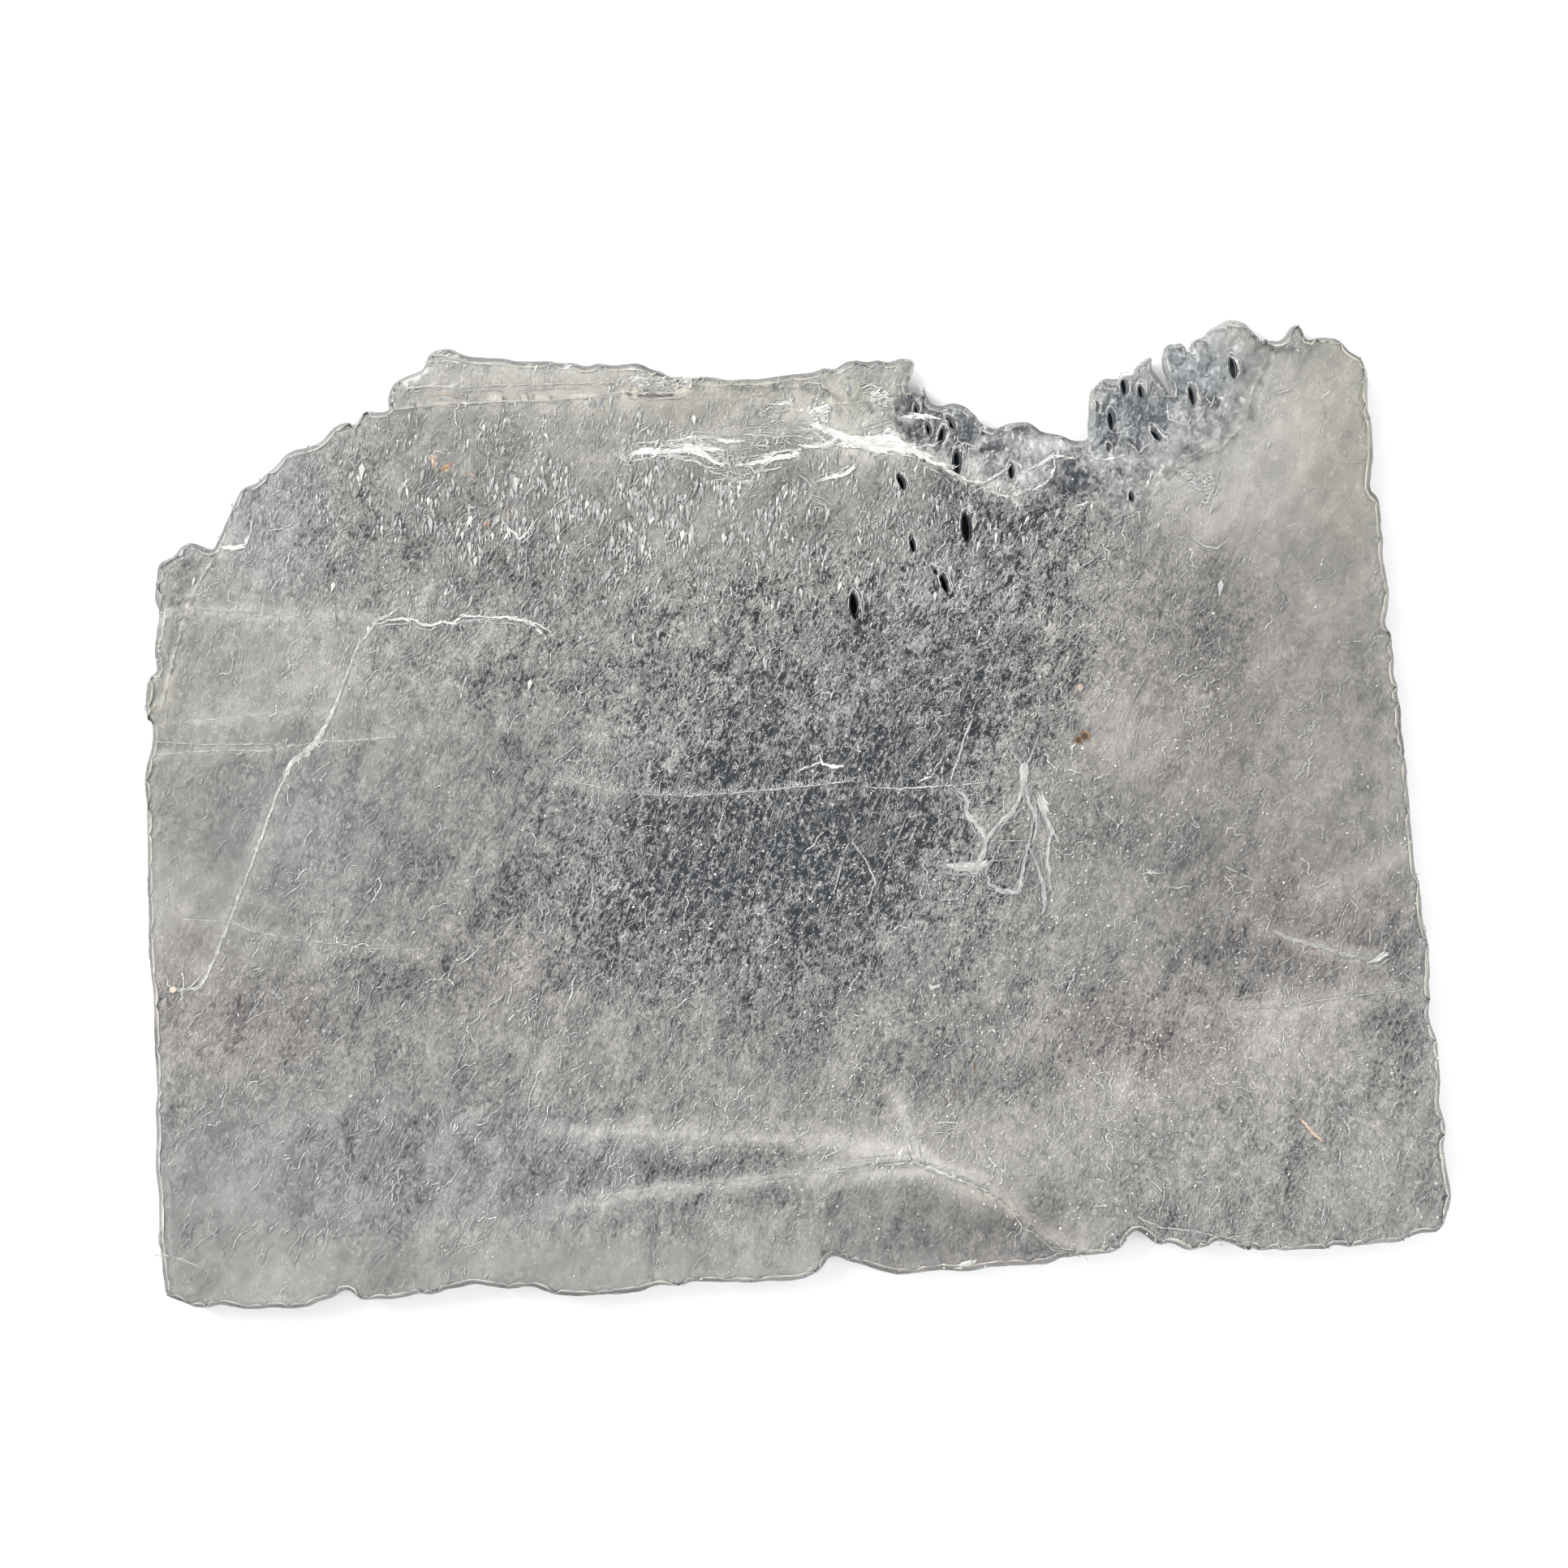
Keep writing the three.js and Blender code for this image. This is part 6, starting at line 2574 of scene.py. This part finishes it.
def node(
    tree: Tree, kind: str, inputs: dict[str | int, object], **settings: object
) -> bpy.types.Node:
    """A new shader node.

    Args:
        tree: The node tree.
        kind: The node's type.
        inputs: A value or another node's socket for each input.
        settings: The node's own settings.

    Returns:
        The node.
    """
    made = tree.nodes.new("ShaderNode" + kind)
    for label, value in settings.items():
        setattr(made, label, value)
    feed(made, inputs)
    return made


def reckoned(
    tree: Tree, operation: str, *numbers: object, clamp: bool = False
) -> Socket:
    """The outcome of a sum on sockets and numbers, kept from 0 to 1 if clamped."""
    inputs = dict(enumerate(numbers))
    return node(tree, "Math", inputs, operation=operation, use_clamp=clamp).outputs["Value"]


def painted(tree: Tree, label: str, output: str = "Fac") -> Socket:
    """The socket of a value that is written on a piece's corners."""
    return node(tree, "Attribute", {}, attribute_name=label).outputs[output]


@dataclass(frozen=True)
class CrystalFinish:
    """Clear crystal with a faint smoky tint, satin on its faces and frosted where it broke."""

    name: str = "selenite_crystal"
    tint: Triple = (0.97, 0.98, 0.99)
    smoke: Triple = (0.475, 0.495, 0.523)
    smoke_density: float = 236.0
    refraction: float = 1.52
    roughness: Pair = (0.06, 0.42)

    def build(self) -> bpy.types.Material:
        """Makes the material.

        Returns:
            The material.
        """
        tree, shader = fresh_material(self.name)
        ends = {"To Min": self.roughness[0], "To Max": self.roughness[1]}
        rough = node(tree, "MapRange", {"Value": painted(tree, "frost"), **ends})
        feed(shader, {
            "Base Color": (*self.tint, 1),
            "Transmission Weight": 1.0,
            "IOR": self.refraction,
            "Roughness": rough.outputs["Result"],
        })
        mix = node(tree, "MixShader", {
            "Fac": node(tree, "LightPath", {}).outputs["Is Shadow Ray"],
            1: shader.outputs["BSDF"],
            2: node(tree, "BsdfTransparent", {}).outputs["BSDF"],
        })
        smoke = node(tree, "VolumeAbsorption", {"Color": (*self.smoke, 1), "Density": self.smoke_density})
        feed(tree.nodes["Material Output"], {
            "Surface": mix.outputs["Shader"],
            "Volume": smoke.outputs["Volume"],
        })
        return bpy.data.materials[self.name]


@dataclass(frozen=True)
class GrainGroup:
    """The shader node group that draws the crystal's leaning, woolly grain.

    Attributes:
        lean: The grain's direction, in degrees from Y towards X.
        stretch: How much longer the grain is along its lean.
        roughness: How strong each finer layer of the noise is against the one before.
    """

    name: str = "crystal_grain"
    lean: float = 23.0
    stretch: float = 0.55
    roughness: float = 0.74

    def build(self) -> Tree:
        """Makes the group, or finds it.

        Returns:
            The group, with a Coarse and a Fine scale in and a coarse, a fine and a thread value out.
        """
        if self.name in bpy.data.node_groups:
            return bpy.data.node_groups[self.name]
        tree = bpy.data.node_groups.new(self.name, "ShaderNodeTree")
        for label, value in (("Coarse", 430.0), ("Fine", 1700.0)):
            socket = tree.interface.new_socket(label, in_out="INPUT", socket_type="NodeSocketFloat")
            socket.default_value = value
        for label in ("Mottle", "Fibre", "Thread"):
            tree.interface.new_socket(label, in_out="OUTPUT", socket_type="NodeSocketFloat")
        scales, outlet = tree.nodes.new("NodeGroupInput").outputs, tree.nodes.new("NodeGroupOutput")
        place = node(tree, "TexCoord", {}).outputs["Object"]
        lay = node(tree, "Mapping", {"Vector": place, "Rotation": (0, 0, math.radians(self.lean))})
        stretched = {0: lay.outputs["Vector"], 1: (1, self.stretch, 1)}
        place = node(tree, "VectorMath", stretched, operation="MULTIPLY").outputs["Vector"]
        mottle = self._noise(place, scales["Coarse"], 8.0, self.roughness, 0.4)
        fibre = self._noise(place, scales["Fine"], 3.0, self.roughness, 0.3)
        curls, breaks = (reckoned(tree, "MULTIPLY", scales["Fine"], share) for share in (0.55, 0.4))
        curl = reckoned(tree, "COMPARE", self._noise(place, curls, 1.0, 0.5, 1.6), 0.5, 0.035)
        there = self._widened(self._noise(place, breaks, 1.0, 0.5, 0.0), 0.5, 0.56)
        feed(outlet, {
            "Mottle": self._widened(mottle, 0.3, 0.7),
            "Fibre": self._widened(fibre, 0.34, 0.66),
            "Thread": reckoned(tree, "MULTIPLY", curl, there),
        })
        return tree

    def _noise(self, place: Socket, scale: Socket, detail: float, roughness: float, twist: float) -> Socket:
        """Flat noise at a place.

        Args:
            place: Where the noise is read.
            scale: The noise's scale.
            detail: How many finer layers it has.
            roughness: How strong each is against the one before.
            twist: How strongly the place is bent.

        Returns:
            The noise's value.
        """
        inputs = {"Vector": place, "Scale": scale, "Detail": detail, "Roughness": roughness}
        inputs["Distortion"] = twist
        return node(place.id_data, "TexNoise", inputs, noise_dimensions="2D").outputs["Fac"]

    def _widened(self, value: Socket, low: float, high: float) -> Socket:
        """A value stretched so that low becomes 0 and high becomes 1."""
        inputs = {"Value": value, "From Min": low, "From Max": high}
        return node(value.id_data, "MapRange", inputs).outputs["Result"]


@dataclass(frozen=True)
class VeilFinish:
    """Milky haze: soft white that covers more where the crystal is milkier, with a woolly grain.

    Attributes:
        mottle: How strongly the coarse grain opens and closes the haze.
        fibre: The same for the fine grain.
        thread: How strongly fine bright threads show.
    """

    name: str
    mottle: float
    fibre: float
    thread: float

    def build(self) -> bpy.types.Material:
        """Makes the material.

        Returns:
            The material.
        """
        tree, shader = fresh_material(self.name)
        grain = node(tree, "Group", {}, node_tree=GrainGroup().build())
        play = -0.5 * (self.mottle + self.fibre)
        for label, share in (("Thread", self.thread), ("Fibre", self.fibre), ("Mottle", self.mottle)):
            play = reckoned(tree, "MULTIPLY_ADD", grain.outputs[label], share, play)
        rough, milk = painted(tree, "rough"), painted(tree, "milk")
        cover = reckoned(tree, "MULTIPLY_ADD", play, rough, milk, clamp=True)
        feed(shader, {
            "Base Color": painted(tree, "tint", "Color"),
            "Alpha": cover,
            "Roughness": 0.8,
            "Specular IOR Level": 0.0,
        })
        return bpy.data.materials[self.name]


@dataclass(frozen=True)
class FeatherFinish:
    """Fractured crystal, from slate through grey to white, warmer where iron has crept in."""

    name: str = "feather_white"
    slate: Triple = (0.05, 0.056, 0.064)
    white: Triple = (1.0, 1.0, 0.955)
    rust: Triple = (0.95, 0.5, 0.2)

    def build(self) -> bpy.types.Material:
        """Makes the material.

        Returns:
            The material.
        """
        tree, shader = fresh_material(self.name)
        palette = node(tree, "UVMap", {}, uv_map="OFBake").outputs["UV"]
        parts = node(tree, "SeparateXYZ", {"Vector": palette}).outputs
        light = node(tree, "ValToRGB", {"Fac": parts["X"]})
        for stop, colour in zip(light.color_ramp.elements, (self.slate, self.white)):
            stop.color = (*colour, 1)
        warm = node(tree, "Mix", {}, data_type="RGBA", blend_type="MULTIPLY")
        feed(warm, {"Factor": parts["Y"], "A": light.outputs["Color"], "B": (*self.rust, 1)})
        feed(shader, {"Base Color": warm.outputs["Result"], "Roughness": 0.6, "Specular IOR Level": 0.1})
        return bpy.data.materials[self.name]


@dataclass(frozen=True)
class PitShadeFinish:
    """Painted shade for the pits: dark slate, a little uneven."""

    name: str = "pit_slate"
    dark: Triple = (0.006, 0.007, 0.008)
    pale: Triple = (0.3, 0.335, 0.35)

    def build(self) -> bpy.types.Material:
        """Makes the material.

        Returns:
            The material.
        """
        tree, shader = fresh_material(self.name)
        place = node(tree, "TexCoord", {}).outputs["Object"]
        noise = node(tree, "TexNoise", {"Vector": place, "Scale": 900}).outputs["Fac"]
        mix = node(tree, "Mix", {}, data_type="RGBA")
        share = reckoned(tree, "MULTIPLY", noise, painted(tree, "slate"))
        feed(mix, {"Factor": share, "A": (*self.dark, 1), "B": (*self.pale, 1)})
        feed(shader, {"Base Color": mix.outputs["Result"], "Roughness": 0.55})
        return bpy.data.materials[self.name]


@dataclass(frozen=True)
class StudioFinish:
    """The plain pale floor."""

    name: str = "studio_floor"
    colour: Triple = (0.93, 0.93, 0.925)

    def build(self) -> bpy.types.Material:
        """Makes the material."""
        feed(fresh_material(self.name)[1], {"Base Color": (*self.colour, 1), "Roughness": 0.9})
        return bpy.data.materials[self.name]


# ---- The studio ----


@dataclass
class Studio:
    """A plain pale floor, soft lamps and a long lens that looks straight down.

    Attributes:
        view_middle: The middle of the view on the plotting grid.
        view_steps: How many grid steps the view spans at the focus height.
        focus_height: The height at which it does.
        floor_gap: How far the floor lies under the slab.
    """

    grid: PlotGrid
    view_middle: Pair = (966.0, 966.0)
    view_steps: float = 1932.0
    focus_height: float = 0.012
    camera_height: float = 1.35
    sensor: float = 36.0
    floor_size: float = 6.0
    floor_gap: float = 0.02 * MM
    exposure: float = 0.27

    RENDERING = {
        "use_denoising": True, "use_light_tree": False, "adaptive_threshold": 0.03, "filter_width": 1.2,
        "max_bounces": 6, "transmission_bounces": 6, "transparent_max_bounces": 32, "diffuse_bounces": 2,
        "glossy_bounces": 3, "caustics_reflective": False, "caustics_refractive": True,
        "sample_clamp_indirect": 6.0,
    }

    def build(self) -> None:
        """Sets up the floor, the lamps, the sky and the camera."""
        self._floor()
        self._lamp("key_lamp", (-0.85, 0.7, 1.35), 0.9, 22)
        self._lamp("fill_lamp", (0.95, -0.5, 1.3), 1.0, 13.5)
        self._sky()
        self._camera()
        scene = bpy.context.scene
        scene.view_settings.view_transform = "Standard"
        scene.view_settings.exposure = self.exposure
        for setting, value in self.RENDERING.items():
            setattr(scene.cycles, setting, value)

    def _floor(self) -> None:
        """Lays the floor."""
        half = self.floor_size / 2
        plan = np.array([(-half, -half), (half, -half), (half, half), (-half, half)])
        corners = np.column_stack([plan, np.full(len(plan), -self.floor_gap)])
        floor = mesh_object("studio_floor", corners, [(0, 1, 2, 3)])
        floor.data.materials.append(StudioFinish().build())

    def _lamp(self, name: str, at: Triple, size: float, power: float) -> None:
        """Hangs a soft square lamp that faces the slab.

        Args:
            name: The lamp's name.
            at: Its place in metres.
            size: Its side in metres.
            power: Its power in watts.
        """
        data = bpy.data.lights.new(name, "AREA")
        data.shape, data.size, data.energy = "SQUARE", size, power
        lamp = placed(name, data)
        lamp.location = at
        lamp.rotation_euler = (-Vector(at)).to_track_quat("-Z", "Y").to_euler()

    def _sky(self) -> None:
        """Fills the room with a weak even light."""
        world = bpy.data.worlds.new("studio_room")
        world.use_nodes = True
        feed(world.node_tree.nodes["Background"], {"Color": (0.97, 0.98, 1.0, 1), "Strength": 0.6})
        bpy.context.scene.world = world

    def _camera(self) -> None:
        """Points the camera straight down."""
        data = bpy.data.cameras.new("view_camera")
        data.sensor_width = self.sensor
        seen = self.view_steps * self.grid.step
        data.lens = self.sensor * (self.camera_height - self.focus_height) / seen
        camera = placed("view_camera", data)
        camera.location = (*self.grid.places(self.view_middle)[0], self.camera_height)
        bpy.context.scene.camera = camera


@dataclass
class Slab:
    """The whole slab: its skin and all that is sealed in it."""

    grid: PlotGrid
    node: Piece

    def __post_init__(self) -> None:
        """Reads the shape and lays out the milkiness."""
        self.shape = SlabShape(self.grid, self.node)
        self.clouds = CloudMap(self.grid)

    def build(self) -> None:
        """Builds and dresses every piece."""
        skin = CrystalSkin(self.shape).build()
        self._dress(skin, CrystalFinish().build(), Slot.CRYSTAL)
        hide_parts(NODE)
        self._veils()
        self._feathers()
        self._fractures()
        # The pits' dark linings are painted shade.
        linings = PitShadeLinings(self.shape).build()
        self._dress(linings, PitShadeFinish().build(), Slot.PIT)

    def _dress(self, piece: Piece, material: bpy.types.Material, slot: Slot) -> None:
        """Gives a piece its material and its body, and reports it.

        Args:
            piece: The piece.
            material: Its material.
            slot: Its slot; not used.
        """
        piece.data.materials.append(material)
        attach(piece, BODY)
        LOG.info("%s: %d faces, %d open edges", piece.name, len(piece.data.polygons), open_edges(piece))

    def _veils(self) -> None:
        """Seals the milky veil and the hazy rim in the crystal."""
        fine = VeilFinish("milky_veil", mottle=0.36, fibre=0.36, thread=0.4).build()
        veil = MilkyVeil(
            "milky_veil", self.shape, self.clouds, depth=0.9 * MM, share=0.6, pitch=1.5 * MM, seed=61)
        self._dress(veil.build(), fine, Slot.CRYSTAL)
        satin = VeilFinish("rim_satin", mottle=0.3, fibre=0.3, thread=0.0).build()
        self._dress(RimHaze(self.shape, self.clouds).build(), satin, Slot.CRYSTAL)

    def _fractures(self) -> None:
        """Lays in the cracks, the torn white band and the iron marks."""
        fractures = Fractures(self.shape)
        halos = tuple(halo for pit in PITS for halo in pit_halos(pit))
        white = FeatherFinish("fracture_white").build()
        # Each group with how many times wider and lighter it stands than plotted, and its echoes.
        cracks = (
            *bolder(MAIN_CRACK, 1.35, 0.97, 1),
            *bolder(LEFT_CRACKS, 1.3, 1.08, 1),
            *bolder(MIDDLE_CRACKS, 1.35, 1.05, 0),
            *bolder(LOWER_CRACKS, 1.15, 0.98, 2),
            *bolder(RIGHT_CRACKS, 1.1, 0.72, 1),
            *bolder(FAR_LEDGE_LINES, 1.2, 1.0, 1),
        )
        groups = (
            ("cracks", cracks, (), Slot.WHITE),
            ("painted_crackle", bolder(PAINTED_CRACKLE, 1.5, 0.66, 2), (), Slot.WHITE),
            ("white_band", bolder(WHITE_BAND, 1.1, 1.0, 4), TORN_PATCHES, Slot.WHITE),
            ("etched_rims", (*ETCHED_RIMS, *halos), (), Slot.WHITE),
            ("iron_marks", IRON_MARKS, RUST_DOTS, Slot.IRON),
        )
        for seed, (name, traces, patches, slot) in enumerate(groups, 81):
            self._dress(fractures.build(name, traces, patches, seed), white, slot)

    def _feathers(self) -> None:
        """Seals the feathery fractures in the crystal."""
        feathers = Feathers(self.shape, self.clouds)
        finish = FeatherFinish().build()
        # Each layer's name, how many feathers, their depths, the seed, whether they bend, and their size.
        plans = (
            ("feathers_curled", 9500, (0.3 * MM, 0.9 * MM), 71, True, 0.85),
            ("feathers_upper", 19000, (0.3 * MM, 1.4 * MM), 72, False, 0.8),
            ("feathers_deep", 13000, (1.4 * MM, 6.0 * MM), 74, False, 1.2),
        )
        for name, count, depths, seed, curved, size in plans:
            self._dress(feathers.layer(name, count, depths, seed, curved, size), finish, Slot.WHITE)
        self._dress(feathers.crinkles("crinkled_hairs", 2900, 76), finish, Slot.WHITE)
        self._dress(feathers.needles("needles", 200, 75), finish, Slot.WHITE)


def main() -> None:
    """Builds the slab's looks in order."""
    logging.basicConfig(level=logging.INFO, format="%(name)s %(levelname)s %(message)s")
    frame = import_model()
    low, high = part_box(NODE)
    grid = PlotGrid(width=high.x - low.x)
    Studio(grid).build()
    Slab(grid, frame["nodes"][NODE]).build()


if __name__ == "__main__":
    main()
